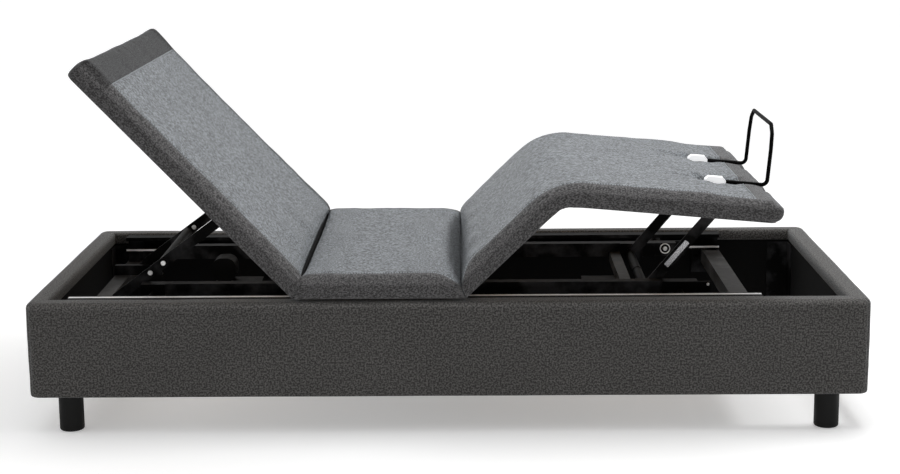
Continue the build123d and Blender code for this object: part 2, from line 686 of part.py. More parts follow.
# clevis brackets under the calf board
TIP_X, TIP_Z = along(LIFT_X, LIFT_Z, LIFT_LENGTH, LIFT_TILT)
TIP_UP = (TIP_X - KNEE_X) * cos(radians(CALF_TILT)) + (TIP_Z - KNEE_Z) * sin(radians(CALF_TILT))
TIP_OFF = (TIP_Z - KNEE_Z) * cos(radians(CALF_TILT)) - (TIP_X - KNEE_X) * sin(radians(CALF_TILT))
with BuildPart() as calf_brackets:
    for low, high in EAR_GAPS:
        for y in mirrored(low, high):
            ear = ear_outline(TIP_UP, 30, PAD_LOW, 10, TIP_OFF - 9)
            slab(calf_side, ear, y)
            disc(calf_side, (TIP_UP, TIP_OFF), PIN_RADIUS, y, Mode.SUBTRACT)
save(calf_brackets, "calf_brackets")
with BuildPart() as calf_pins:
    for y in mirrored(ARM_Y - PIN_REACH, ARM_Y + PIN_REACH):
        disc(calf_side, (TIP_UP, TIP_OFF), PIN_RADIUS, y)
save(calf_pins, "calf_pins")


# ---------------------------------------------------------------- leg actuator, fixed to the carriage
ROD_RADIUS = 8
OUTER_TUBE_RADIUS = 18
LEG_MOTOR_X = (62, 165)
LEG_TUBE_END = 385
LEG_PIN_X = LIFT_X + CRANK_DROP * tan(radians(CRANK_SWING))


def along_x(z, radius, x_low, x_high, mode=Mode.ADD):
    """A round bar along the middle of the bed at height z."""
    with BuildSketch(Plane(origin=(x_low, 0, z), x_dir=(0, 1, 0), z_dir=(1, 0, 0))) as outline:
        Circle(radius)
    extrude(outline.sketch, amount=x_high - x_low, mode=mode)


with BuildPart() as leg_actuator:
    rounded(row_side, (sum(LEG_MOTOR_X) / 2, LEG_ROD_Z), (LEG_MOTOR_X[1] - LEG_MOTOR_X[0], 62), 10, (-32, 32))
    along_x(LEG_ROD_Z, OUTER_TUBE_RADIUS, LEG_MOTOR_X[1], LEG_TUBE_END)
    along_x(LEG_ROD_Z, ROD_RADIUS + RUNNING_GAP, LEG_MOTOR_X[1] + 12, LEG_TUBE_END, Mode.SUBTRACT)
save(leg_actuator, "leg_actuator_housing")

with BuildPart() as leg_motor:
    rounded(row_side, (118, LEG_ROD_Z - 31 - 34), (62, 68), 14, (-30, 30))
save(leg_motor, "leg_actuator_motor")

with BuildPart() as actuator_hangers:
    for y in mirrored(32, 36):
        block((62, 88), y, (LEG_ROD_Z - 20, 292))
    for y in mirrored(OUTER_TUBE_RADIUS, OUTER_TUBE_RADIUS + 4):
        block((350, 376), y, (LEG_ROD_Z - 8, 268))
    block((350, 440), (-OUTER_TUBE_RADIUS - 4, OUTER_TUBE_RADIUS + 4), (268, 276))
    for y in mirrored(9, 14):
        ear = [(BACK_CLEVIS_X - 20, 292), (BACK_CLEVIS_X + 18, 292), (BACK_CLEVIS_X + 11, BACK_CLEVIS_Z - 10),
               (BACK_CLEVIS_X - 11, BACK_CLEVIS_Z - 10)]
        slab(row_side, ear, y)
    disc(row_side, (BACK_CLEVIS_X, BACK_CLEVIS_Z), PIN_RADIUS, (-17, 17))
save(actuator_hangers, "actuator_hangers")

FORK_LENGTH = 26
with BuildPart() as leg_rod:
    along_x(LEG_ROD_Z, ROD_RADIUS, LEG_MOTOR_X[1] + 110, LEG_PIN_X - FORK_LENGTH)
    rounded(row_side, (LEG_PIN_X - 12, LEG_ROD_Z), (2 * FORK_LENGTH, 24), 6, (-14, 14))
    block((LEG_PIN_X - 20, LEG_PIN_X + 20), (-5.5, 5.5), (LEG_ROD_Z - 20, LEG_ROD_Z + 20), Mode.SUBTRACT)
    disc(row_side, (LEG_PIN_X, LEG_ROD_Z), PIN_RADIUS, (-18, 18))
save(leg_rod, "leg_actuator_rod")


# ---------------------------------------------------------------- back actuator
GEAR_LOW = -140
GEAR_HIGH = 62
GEAR_HALF = 30
MOTOR_SIZE = (62, 62)
MOTOR_UP = -111
BACK_TUBE_END = 318
with BuildPart() as back_actuator:
    gear_y = (-GEAR_HALF, GEAR_HALF)
    rounded(actuator_side, ((GEAR_LOW + GEAR_HIGH) / 2, 0), (GEAR_HIGH - GEAR_LOW, 2 * GEAR_HALF), 12, gear_y)
    disc(actuator_side, (0, 0), PIN_RADIUS + RUNNING_GAP, gear_y, Mode.SUBTRACT)
save(back_actuator, "back_actuator_housing")


def actuator_round(radius, low, high, mode=Mode.ADD):
    """A round bar along the back actuator."""
    across = actuator_side(0)
    section = Plane(origin=across.from_local_coords((low, 0, 0)), x_dir=(0, 1, 0), z_dir=across.x_dir)
    with BuildSketch(section) as outline:
        Circle(radius)
    extrude(outline.sketch, amount=high - low, mode=mode)


with BuildPart() as back_outer_tube:
    actuator_round(OUTER_TUBE_RADIUS, GEAR_HIGH, BACK_TUBE_END)
    actuator_round(ROD_RADIUS + RUNNING_GAP, GEAR_HIGH + 10, BACK_TUBE_END, Mode.SUBTRACT)
save(back_outer_tube, "back_actuator_tube")

with BuildPart() as back_motor:
    rounded(actuator_side, (MOTOR_UP, GEAR_HALF + MOTOR_SIZE[1] / 2), MOTOR_SIZE, 24, (-GEAR_HALF, GEAR_HALF))
save(back_motor, "back_actuator_motor")

EYE_CENTRE = (ACTUATOR_LENGTH - 2.0, -2.2)
EYE_OUTER = 20
with BuildPart() as back_rod:
    actuator_round(ROD_RADIUS, GEAR_HIGH + 90, ACTUATOR_LENGTH - EYE_OUTER + 2)
    disc(actuator_side, EYE_CENTRE, EYE_OUTER, (-7, 7))
    disc(actuator_side, EYE_CENTRE, 12.2, (-9, 9), Mode.SUBTRACT)
save(back_rod, "back_actuator_rod")

with BuildPart() as trunnion_bracket:
    for y in mirrored(31, 36):
        foot_off = -BRACKET_DROP - 14
        ear = [(12, PAD_LOW), (112, PAD_LOW), (BRACKET_UP + 16, foot_off), (BRACKET_UP - 14, foot_off)]
        slab(back_side, ear, y)
        disc(back_side, (BRACKET_UP, -BRACKET_DROP), PIN_RADIUS, y, Mode.SUBTRACT)
save(trunnion_bracket, "trunnion_bracket")


# ---------------------------------------------------------------- electrics under the seat
TRAY_Z = (289, 292)
with BuildPart() as electrics_trays:
    for y in mirrored(70, 190):
        block((-308, 0), y, TRAY_Z)
save(electrics_trays, "electrics_trays")
with BuildPart() as control_box:
    block((-250, -90), (78, 182), (249, TRAY_Z[0]))
    fillet(control_box.edges().filter_by(Axis.Z), radius=10)
    fillet(control_box.edges().group_by(Axis.Z)[0], radius=4)
save(control_box, "control_box")
with BuildPart() as power_supply:
    block((-260, -100), (-170, -90), (245, TRAY_Z[0]))
    fillet(power_supply.edges().filter_by(Axis.Z), radius=8)
    fillet(power_supply.edges().group_by(Axis.Z)[0], radius=4)
save(power_supply, "power_supply")


# ---------------------------------------------------------------- mattress retainer
def calf_point(up, y, off):
    """Row position of a point of the calf section."""
    tilt = radians(CALF_TILT)
    return KNEE_X + up * cos(tilt) - off * sin(tilt), y, KNEE_Z + up * sin(tilt) + off * cos(tilt)


BAR_OFF = PAD_HIGH - 7
BAR_START = CLIP_ENDS[0] + 20
BAR_END = CALF_LENGTH + 2
BAR_SHOULDER = ((0, 90), (9, 130), (38, 150))
BAR_BEND = 14
with BuildPart() as retainer_bar:
    side = [calf_point(BAR_START, -BAR_Y, BAR_OFF), calf_point(BAR_END, -BAR_Y, BAR_OFF)]
    side += [calf_point(BAR_END, inward - BAR_Y, BAR_OFF + rise) for inward, rise in BAR_SHOULDER]
    opposite = [(x, -y, z) for x, y, z in reversed(side)]
    with BuildLine() as route:
        FilletPolyline(*side, *opposite, radius=BAR_BEND)
    bar_end = Plane(origin=route.wires()[0] @ 0, z_dir=route.wires()[0] % 0)
    with BuildSketch(bar_end) as section:
        Circle(BAR_RADIUS)
    sweep(section.sketch, path=route.wires()[0])
save(retainer_bar, "retainer_bar")

CLIP_LOW = PAD_HIGH - CLIP_DEPTH
CLIP_HIGH = PAD_HIGH + 5
CLIP_HALF = 10
CLIP_CHAMFER = 8
CLIP_EDGE = 3
HOLE_LEAD = 2
with BuildPart() as retainer_clips:
    for low, high in mirrored(BAR_Y - CLIP_HALF, BAR_Y + CLIP_HALF):
        clip_start, clip_end = CLIP_ENDS
        outline = [(clip_start, CLIP_LOW), (clip_end, CLIP_LOW), (clip_end, CLIP_HIGH - CLIP_CHAMFER),
                   (clip_end - CLIP_CHAMFER, CLIP_HIGH), (clip_start + CLIP_CHAMFER, CLIP_HIGH),
                   (clip_start, CLIP_HIGH - CLIP_CHAMFER)]
        slab(calf_side, outline, (low, high))
        middle = (low + high) / 2
        hole_x = (BAR_START - HOLE_LEAD, clip_end + OVERCUT)
        hole = rectangle(hole_x, (BAR_OFF - BAR_RADIUS, BAR_OFF + BAR_RADIUS))
        slab(calf_side, hole, (middle - BAR_RADIUS, middle + BAR_RADIUS), Mode.SUBTRACT)
    fillet(retainer_clips.edges().filter_by(GeomType.LINE).filter_by(lambda e: abs(e.tangent_at(0).Y) > 0.9)
           .group_by(Axis.Z)[-1], radius=CLIP_EDGE)
save(retainer_clips, "retainer_clips")
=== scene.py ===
"""Looks of the adjustable bed base: padded surround, sewn deck covers, stitching and materials.

Lengths are in metres and angles in degrees. A deck section has its own frame (u, y, v): u along the
section from its hinge, y across the bed, and v off the hinge's plane."""

import bmesh
import bpy
import json
import math
import numpy as np
from mathutils import Matrix, Vector, noise
from mathutils.bvhtree import BVHTree


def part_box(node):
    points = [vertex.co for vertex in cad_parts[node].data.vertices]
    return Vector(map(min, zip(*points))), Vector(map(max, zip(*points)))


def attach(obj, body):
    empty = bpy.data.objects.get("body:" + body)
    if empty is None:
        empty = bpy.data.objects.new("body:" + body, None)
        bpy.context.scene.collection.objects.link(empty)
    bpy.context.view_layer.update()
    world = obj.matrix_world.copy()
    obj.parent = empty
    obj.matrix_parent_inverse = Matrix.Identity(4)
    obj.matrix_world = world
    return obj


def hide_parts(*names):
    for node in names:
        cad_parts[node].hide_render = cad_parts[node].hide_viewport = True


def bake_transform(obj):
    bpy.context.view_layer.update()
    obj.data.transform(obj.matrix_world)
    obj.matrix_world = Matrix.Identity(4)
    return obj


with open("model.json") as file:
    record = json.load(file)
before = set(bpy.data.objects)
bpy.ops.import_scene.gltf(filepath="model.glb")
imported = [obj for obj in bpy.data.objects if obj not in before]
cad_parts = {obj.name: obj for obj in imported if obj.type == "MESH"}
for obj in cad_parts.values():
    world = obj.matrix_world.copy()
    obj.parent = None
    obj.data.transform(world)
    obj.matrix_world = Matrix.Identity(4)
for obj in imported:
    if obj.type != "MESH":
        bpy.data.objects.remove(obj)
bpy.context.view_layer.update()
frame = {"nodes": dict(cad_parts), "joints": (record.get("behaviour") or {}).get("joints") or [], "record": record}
scene = bpy.context.scene
joints = {j["name"]: j for j in frame["joints"]}

# ---- driving sizes
MM = 0.001
SAME = 1e-6
ROUNDING = 1e-9
BACK_TILT = 46.4
THIGH_TILT = 44.0
CALF_TILT = -5.1
BACK_LENGTH = 0.746
THIGH_LENGTH = 0.320
CALF_LENGTH = 0.520
LEGS_LENGTH = THIGH_LENGTH + CALF_LENGTH
DECK_HALF = 0.455
PAD_LOW = 0.005
PAD_HIGH = 0.059
PLY_HIGH = 0.0205
PLY_INSET = 0.0145
EDGE_ROUND = 0.024
BACK_BEVEL = 31.0
THIGH_BEVEL = 22.3
SIDE_BORDER = 0.030
HEAD_BORDER = 0.085
FOOT_BORDER = 0.065
SEAM_Y = DECK_HALF - SIDE_BORDER
KNEE_RADIUS = 0.170
KNEE_UNDER_REACH = 0.012
CLIP_Y = 0.175
CLIP_U = THIGH_LENGTH + 0.391

BASE_HALF_X = 1.015
BASE_HALF_Y = 0.460
SURROUND_LOW = 0.087
SURROUND_HIGH = 0.322
WALL = 0.050

BACK_HINGE = Vector(joints["back_hinge"]["pos_m"])
THIGH_HINGE = Vector(joints["thigh_hinge"]["pos_m"])
KNEE = Vector(joints["knee_hinge"]["pos_m"])
SEAT_LENGTH = THIGH_HINGE.x - BACK_HINGE.x

# ---- camera, light and floor
CAMERA_PLACE = (0.05967, -4.57938, 1.30692)
CAMERA_PITCH, CAMERA_YAW, CAMERA_ROLL = 0.19815, -0.01238, -0.00855    # radians
LENS, SENSOR_WIDTH = 70.9, 36.0                                        # mm
CLIP_NEAR, CLIP_FAR = 0.1, 60

# Area lights: place, aim, size and watts.
LIGHTS = {
    "overhead": ((1.0, 0.0, 2.45), (0.35, 0, 0.4), (1.1, 1.1), 26),
    "front_low": ((0.2, -4.2, 0.4), (0, 0, 0.05), (4.5, 0.4), 20),
}
# The sky is dim behind the camera and bright beyond the bed.
SKY_FROM_TO = (-0.6, 0.15)
SKY_STRENGTH = (0.25, 1.06)
FLOOR_REACH = 14
FLOOR_SHADE = 0.90
FLOOR_ROUGHNESS = 0.75
FLOOR_GLOW = 0.30
FLOOR_MOTTLE = 3.0


def grey(level):
    return (level, level, level)


def camera():
    ahead = Vector((math.sin(CAMERA_YAW) * math.cos(CAMERA_PITCH),
                    math.cos(CAMERA_YAW) * math.cos(CAMERA_PITCH),
                    -math.sin(CAMERA_PITCH)))
    right = Vector((math.cos(CAMERA_YAW), -math.sin(CAMERA_YAW), 0))
    up = right.cross(ahead)
    rolled_right = math.cos(CAMERA_ROLL) * right + math.sin(CAMERA_ROLL) * up
    rolled_up = -math.sin(CAMERA_ROLL) * right + math.cos(CAMERA_ROLL) * up
    data = bpy.data.cameras.new("camera")
    data.lens = LENS
    data.sensor_width = SENSOR_WIDTH
    data.clip_start = CLIP_NEAR
    data.clip_end = CLIP_FAR
    made = bpy.data.objects.new("camera", data)
    scene.collection.objects.link(made)
    turn = Matrix((rolled_right, rolled_up, -ahead)).transposed().to_4x4()
    made.matrix_world = Matrix.Translation(CAMERA_PLACE) @ turn
    scene.camera = made


def area_light(name, place, target, size, power):
    data = bpy.data.lights.new(name, "AREA")
    data.shape = "RECTANGLE"
    data.size, data.size_y = size
    data.energy = power
    made = bpy.data.objects.new(name, data)
    scene.collection.objects.link(made)
    made.location = place
    made.rotation_mode = "QUATERNION"
    made.rotation_quaternion = (Vector(target) - Vector(place)).to_track_quat("-Z", "Y")


def studio():
    scene.view_settings.view_transform = "Standard"
    world = bpy.data.worlds.new("studio")
    world.use_nodes = True
    sky = Tree(world.node_tree)
    way = sky.add("ShaderNodeSeparateXYZ")
    sky.links.new(sky.add("ShaderNodeTexCoord").outputs["Generated"], way.inputs[0])
    background = sky.nodes["Background"]
    sky.links.new(sky.range(way.outputs["Y"], SKY_FROM_TO, SKY_STRENGTH), background.inputs["Strength"])
    background.inputs["Color"].default_value = (1, 1, 1, 1)
    scene.world = world
    for name, (place, target, size, power) in LIGHTS.items():
        area_light(name, place, target, size, power)
    glow = {"Emission Color": WHITE, "Emission Strength": FLOOR_GLOW}
    paper = MaterialTree("floor", grey(FLOOR_SHADE), FLOOR_ROUGHNESS, glow)
    paper.bump(paper.noise(None, FLOOR_MOTTLE, 3), 0.02, 0.001)
    mesh = bpy.data.meshes.new("floor")
    corners = [(x * FLOOR_REACH, y * FLOOR_REACH, 0) for x, y in ((-1, -1), (1, -1), (1, 1), (-1, 1))]
    mesh.from_pydata(corners, [], [(0, 1, 2, 3)])
    floor = bpy.data.objects.new("floor", mesh)
    scene.collection.objects.link(floor)
    floor.data.materials.append(paper.material)


# ---- materials
# Fabrics: pitch is the weave's, slub the share of long thread noise, speckle the flecks per metre,
# and grainy how much the flecks lighten and darken.
FABRICS = {
    "charcoal_wool": dict(dark=(0.0255, 0.0246, 0.0239), light=(0.109, 0.105, 0.101),
                     pitch=0.0016, roughness=0.85, sheen=0.30, slub=0.35, speckle=330, grainy=0.50),
    "charcoal_border": dict(dark=(0.026, 0.0252, 0.0255), light=(0.112, 0.109, 0.110),
                   pitch=0.0014, roughness=0.82, sheen=0.30, slub=0.35, speckle=330, grainy=0.50),
    "grey_panel": dict(dark=(0.092, 0.100, 0.108), light=(0.160, 0.172, 0.185),
                  pitch=0.0012, roughness=0.50, sheen=0.12, slub=0.5, speckle=260, grainy=0.62),
    "black_gusset": dict(dark=grey(0.004), light=grey(0.014),
                   pitch=0.0014, roughness=0.85, sheen=0.0, slub=0.35, speckle=330, grainy=0.2),
}
# Metals: edge is the lighter colour painted on sharp edges as highlights.
METALS = {
    "black_steel": dict(colour=grey(0.0025), roughness=0.55, metallic=0.0, edge=(0.03, 0.03, 0.032),
                        grain=900, gloss=0.03),
    # A lighter copy of the black steel for the cross tubes: its lighter colour is painted reflection on their tops.
    "satin_steel": dict(colour=(0.024, 0.023, 0.0225), roughness=0.50, metallic=0.0, edge=grey(0.07),
                        grain=900, gloss=0.06),
    "zinc_steel": dict(colour=(0.80, 0.80, 0.79), roughness=0.30, metallic=0.85, edge=grey(0.92),
                       grain=700, gloss=0.5),
    # Near-white strips painted as highlight lines along the tracks.
    "polished_edge": dict(colour=(0.90, 0.91, 0.93), roughness=0.35, metallic=0.1, edge=grey(0.95),
                          grain=800, gloss=0.6),
}
PLASTICS = {
    "stitch_thread": dict(colour=(0.50, 0.53, 0.56), roughness=0.55, grain=900,
                   depth=0.0002, gloss=0.3),
    "black_plastic": dict(colour=grey(0.004), roughness=0.60, grain=1100,
                          depth=0.0003, gloss=0.04),
    "leg_plastic": dict(colour=(0.0085, 0.0085, 0.0083), roughness=0.55, grain=1100,
                        depth=0.0003, gloss=0.10),
    "grey_nylon": dict(colour=(0.03, 0.03, 0.031), roughness=0.38, grain=700,
                  depth=0.0001, gloss=0.4),
    # The white plastic glows: painted light, making the retainer clips brighter than the lamps light them.
    "white_plastic": dict(colour=(0.90, 0.91, 0.92), roughness=0.3, grain=500,
                          depth=0.0001, gloss=0.5, glow=0.55),
}
DUST_CLOTH = (0.0035, 0.0035, 0.0036)
# Slots whose material has another name, and nodes that differ from their slot.
SLOT_MATERIALS = {"black_board": "dust_cloth", "surround_fabric": "charcoal_wool",
                  "deck_fabric": "grey_panel", "nylon": "grey_nylon"}
# The cross tubes take the lighter copy of the black steel, which paints their reflection.
NODE_MATERIALS = {"track_cross_tubes": "satin_steel", "carriage_cross_tubes": "satin_steel",
                  "electrics_trays": "black_steel", "legs": "leg_plastic"}
SHEEN_ROUGHNESS = 0.35
SHEEN_TINT = (0.90, 0.96, 1.0)
FABRIC_GLOSS = 0.25
SLUB_ALONG, SLUB_ACROSS = 40, 420       # noise per metre along and across a thread
WAVE_PERIOD = math.pi / 10              # the bands' spacing in a wave texture of scale 1
YARN_STOPS = (0.36, 0.68)
SALT_STOPS = (0.40, 0.62)
CLOUD_STOPS = (0.3, 0.7)
BLACK, WHITE = grey(0), grey(1)
MATERIALS = {}


class Tree:
    """A node tree, with the set-ups that the looks share."""

    def __init__(self, node_tree):
        self.nodes, self.links = node_tree.nodes, node_tree.links

    def add(self, kind, inputs=None, **settings):
        """A new node with some of its inputs' values and its own settings."""
        node = self.nodes.new(kind)
        for name, value in (inputs or {}).items():
            node.inputs[name].default_value = value
        for name, value in settings.items():
            setattr(node, name, value)
        return node

    def feed(self, socket, value):
        """Link a socket to another, or set it: a tuple is a colour."""
        if isinstance(value, tuple):
            socket.default_value = (*value, 1)
        elif isinstance(value, (int, float)):
            socket.default_value = value
        else:
            self.links.new(value, socket)

    def attribute(self, name, output):
        return self.add("ShaderNodeAttribute", attribute_name=name).outputs[output]

    def coordinates(self, attribute=None, stretch=(1, 1, 1)):
        """Texture coordinates in metres: the unrolled fabric's, or the object's own."""
        if attribute:
            source = self.attribute(attribute, "Vector")
        else:
            source = self.add("ShaderNodeTexCoord").outputs["Object"]
        mapping = self.add("ShaderNodeMapping", {"Scale": stretch})
        self.links.new(source, mapping.inputs["Vector"])
        return mapping.outputs["Vector"]

    def noise(self, vector, scale, detail=4, roughness=0.55):
        texture = self.add("ShaderNodeTexNoise", {"Scale": scale, "Detail": detail, "Roughness": roughness})
        self.links.new(self.coordinates() if vector is None else vector, texture.inputs["Vector"])
        return texture.outputs["Fac"]

    def ramp(self, value, stops, low_colour, high_colour):
        node = self.add("ShaderNodeValToRGB")
        for element, stop, colour in zip(node.color_ramp.elements, stops, (low_colour, high_colour)):
            element.position = stop
            element.color = (*colour, 1)
        self.links.new(value, node.inputs["Fac"])
        return node.outputs["Color"]

    def math(self, operation, first, second):
        node = self.add("ShaderNodeMath", operation=operation)
        self.feed(node.inputs[0], first)
        self.feed(node.inputs[1], second)
        return node.outputs[0]

    def range(self, value, source, target):
        """Map a value smoothly from one range to another."""
        limits = {"From Min": source[0], "From Max": source[1], "To Min": target[0], "To Max": target[1]}
        node = self.add("ShaderNodeMapRange", limits, interpolation_type="SMOOTHSTEP")
        self.links.new(value, node.inputs["Value"])
        return node.outputs["Result"]

    def mix(self, factor, first, second, blend="MIX"):
        node = self.add("ShaderNodeMix", data_type="RGBA", blend_type=blend)
        for place, value in ((0, factor), (6, first), (7, second)):
            self.feed(node.inputs[place], value)
        return node.outputs[2]


class MaterialTree(Tree):
    """A material's node tree round its one shader."""

    def __init__(self, name, colour, roughness, values=None):
        self.material = bpy.data.materials.new(name)
        self.material.use_nodes = True
        super().__init__(self.material.node_tree)
        self.shader = self.nodes["Principled BSDF"]
        for socket, value in {"Base Color": colour, "Roughness": roughness, **(values or {})}.items():
            self.feed(self.shader.inputs[socket], value)

    def drive(self, socket, value):
        self.links.new(value, self.shader.inputs[socket])

    def bump(self, height, strength, distance, under=None):
        node = self.add("ShaderNodeBump", {"Strength": strength, "Distance": distance})
        self.links.new(height, node.inputs["Height"])
        if under is not None:
            self.links.new(under, node.inputs["Normal"])
        self.drive("Normal", node.outputs["Normal"])
        return node.outputs["Normal"]

    def weave(self, pitch):
        """Height of a plain weave: warp and weft threads that pass over each other."""
        heights = []
        for axis in ("X", "Y"):
            looks = {"Scale": WAVE_PERIOD / pitch, "Distortion": 0.6, "Detail": 1.0}
            wave = self.add("ShaderNodeTexWave", looks, wave_type="BANDS", bands_direction=axis)
            self.links.new(self.coordinates("flat"), wave.inputs["Vector"])
            heights.append(wave.outputs["Fac"])
        return self.math("MAXIMUM", heights[0], heights[1])


def fabric(name, dark, light, pitch, roughness, sheen, slub, speckle, grainy):
    """Woven upholstery: weave bump, slubs along both threads, and a mottle of two yarn colours.

    Where a piece's painted-shade attribute rises, the fabric is painted darker and loses its sheen and gloss,
    standing in for shade in folds and under edges."""
    sheen_values = {"Sheen Roughness": SHEEN_ROUGHNESS, "Sheen Tint": SHEEN_TINT}
    tree = MaterialTree(name, light, roughness, sheen_values)
    weave = tree.weave(pitch)
    warp = tree.noise(tree.coordinates("flat", (SLUB_ALONG, SLUB_ACROSS, SLUB_ALONG)), 1.0, 3)
    weft = tree.noise(tree.coordinates("flat", (SLUB_ACROSS, SLUB_ALONG, SLUB_ALONG)), 1.0, 3)
    flecks = tree.noise(tree.coordinates("flat"), speckle, 2, 0.7)
    clouds = tree.noise(tree.coordinates("flat"), 5.0, 4)
    grains = tree.noise(tree.coordinates("flat"), speckle * 0.7, 1, 0.5)
    threads = tree.math("ADD", warp, weft)
    yarns = tree.math("ADD", tree.math("MULTIPLY", threads, slub), tree.math("MULTIPLY", flecks, 1.0 - slub))
    colour = tree.ramp(yarns, YARN_STOPS, dark, light)
    cloudy = tree.ramp(clouds, CLOUD_STOPS, grey(0.92), grey(1.05))
    salt = tree.ramp(grains, SALT_STOPS, grey(1 - grainy), grey(1 + grainy))
    # Painted shade: a per-point attribute darkens the colour and takes away sheen and gloss.
    crease = tree.attribute("crease", "Fac")
    shade = tree.mix(crease, tree.mix(1.0, cloudy, salt, "MULTIPLY"), BLACK)
    lit = tree.math("SUBTRACT", 1.0, crease)
    tree.drive("Sheen Weight", tree.math("MULTIPLY", lit, sheen))
    tree.drive("Specular IOR Level", tree.math("MULTIPLY", lit, FABRIC_GLOSS))
    tree.drive("Base Color", tree.mix(1.0, colour, shade, "MULTIPLY"))
    soft = tree.bump(threads, 0.35, 0.0012)
    tree.bump(weave, 0.5, 0.0005, soft)
    return tree.material


def metal_with_edge_highlights(name, colour, roughness, metallic, edge, grain, gloss):
    """Coated or plated steel with fine grain, cloudy roughness, and lighter edges that are painted highlights."""
    tree = MaterialTree(name, colour, roughness, {"Metallic": metallic, "Specular IOR Level": gloss})
    clouds = tree.noise(None, 14, 4)
    pointy = tree.add("ShaderNodeNewGeometry").outputs["Pointiness"]
    edge_highlight = tree.ramp(pointy, (0.52, 0.60), BLACK, WHITE)
    breakup = tree.ramp(clouds, (0.45, 0.65), BLACK, WHITE)
    tree.drive("Base Color", tree.mix(tree.math("MULTIPLY", edge_highlight, breakup), colour, edge))
    uneven = tree.ramp(clouds, CLOUD_STOPS, grey(roughness * 0.92), grey(min(1, roughness * 1.10)))
    tree.drive("Roughness", uneven)
    tree.bump(tree.noise(None, grain, 3), 0.12, 0.0004)
    return tree.material


def moulded(name, colour, roughness, grain, depth, gloss, glow=0.0):
    """Moulded plastic with a fine texture and slightly uneven gloss; a glow above zero paints extra light on it."""
    values = {"Specular IOR Level": gloss, "Emission Color": WHITE, "Emission Strength": glow}
    tree = MaterialTree(name, colour, roughness, values)
    clouds = tree.noise(None, 20, 3)
    darker, lighter = tuple(c * 0.9 for c in colour), tuple(min(1, c * 1.08) for c in colour)
    tree.drive("Base Color", tree.ramp(clouds, CLOUD_STOPS, darker, lighter))
    uneven = tree.ramp(clouds, CLOUD_STOPS, grey(roughness * 0.85), grey(min(1, roughness * 1.2)))
    tree.drive("Roughness", uneven)
    tree.bump(tree.noise(None, grain, 3), 0.25, depth)
    return tree.material


def label_material():
    """Silver foil with fine darker streaks, left blank."""
    tree = MaterialTree("label_silver", (0.62, 0.63, 0.65), 0.35, {"Metallic": 0.4})
    streaks = tree.noise(tree.coordinates(None, grey(420)), 1.0, 3)
    tree.drive("Base Color", tree.ramp(streaks, (0.42, 0.62), (0.22, 0.22, 0.24), (0.70, 0.71, 0.73)))
    tree.bump(streaks, 0.1, 0.0002)
    return tree.material


def plywood_material():
    """Birch plywood: fine grain along the bed under broad, faint rings."""
    tree = MaterialTree("plywood", (0.42, 0.29, 0.17), 0.6)
    grain = tree.noise(tree.coordinates(None, (3, 60, 60)), 1.0, 6, 0.6)
    rings = tree.noise(tree.coordinates(None, (1.2, 9, 9)), 1.0, 3)
    wood = tree.ramp(grain, (0.3, 0.75), (0.30, 0.19, 0.10), (0.52, 0.37, 0.22))
    tone = tree.ramp(rings, (0.35, 0.65), grey(0.85), grey(1.08))
    tree.drive("Base Color", tree.mix(1.0, wood, tone, "MULTIPLY"))
    tree.bump(grain, 0.2, 0.0006)
    return tree.material


def dust_cloth_material():
    """Thin non-woven black cloth on boards."""
    tree = MaterialTree("dust_cloth", DUST_CLOTH, 0.92, {"Specular IOR Level": 0.08})
    fibres = tree.noise(None, 500, 4, 0.7)
    darker, lighter = tuple(c * 0.6 for c in DUST_CLOTH), tuple(c * 1.7 for c in DUST_CLOTH)
    tree.drive("Base Color", tree.ramp(fibres, (0.35, 0.7), darker, lighter))
    tree.bump(fibres, 0.3, 0.0005)
    return tree.material


def make_materials():
    for make, table in ((fabric, FABRICS), (metal_with_edge_highlights, METALS), (moulded, PLASTICS)):
        for name, looks in table.items():
            MATERIALS[name] = make(name, **looks)
    MATERIALS["dust_cloth"] = dust_cloth_material()
    MATERIALS["plywood"] = plywood_material()
    MATERIALS["label_silver"] = label_material()


def dress_frame():
    """Every CAD node that stays gets the material of its slot."""
    slots = {s["node"]: s["material_slot"] for s in frame["record"]["subparts"]}
    for name, node in frame["nodes"].items():
        key = NODE_MATERIALS.get(name, SLOT_MATERIALS.get(slots[name], slots[name]))
        node.data.materials.clear()
        node.data.materials.append(MATERIALS[key])


# ---- section frames
class Section:
    """A deck section's side frame: u along it from its hinge, v off its hinge plane."""

    def __init__(self, origin, tilt, towards_foot):
        t = math.radians(tilt)
        way = 1 if towards_foot else -1
        self.origin = np.array(origin)
        self.along = np.array((way * math.cos(t), 0, math.sin(t)))
        self.off = np.array((-way * math.sin(t), 0, math.cos(t)))

    def place(self, p):
        across = np.array((0.0, 1.0, 0.0))
        return self.origin + p[:, :1] * self.along + p[:, 1:2] * across + p[:, 2:3] * self.off

    def point(self, u, y, v):
        return Vector(self.place(np.array([[u, y, v]]))[0])


BACK = Section(BACK_HINGE, BACK_TILT, False)
SEAT = Section(BACK_HINGE, 0, True)
THIGH = Section(THIGH_HINGE, THIGH_TILT, True)
CALF = Section(KNEE, CALF_TILT, True)

# ---- mesh helpers
EDGE_GAPS = (0, 1.5, 4, 7, 10, 13.5, 17.5, 23)        # mm in from both ends
MARK_GAPS = (-7, -3.5, -1.5, 0, 1.5, 3.5, 7)          # mm either side of a seam
CLOSEST_SHARE = 0.45
CLOSEST_LINES = 0.9 * MM
ALONG, ACROSS, UP = (1, 0, 0), (0, 1, 0), (0, 0, 1)


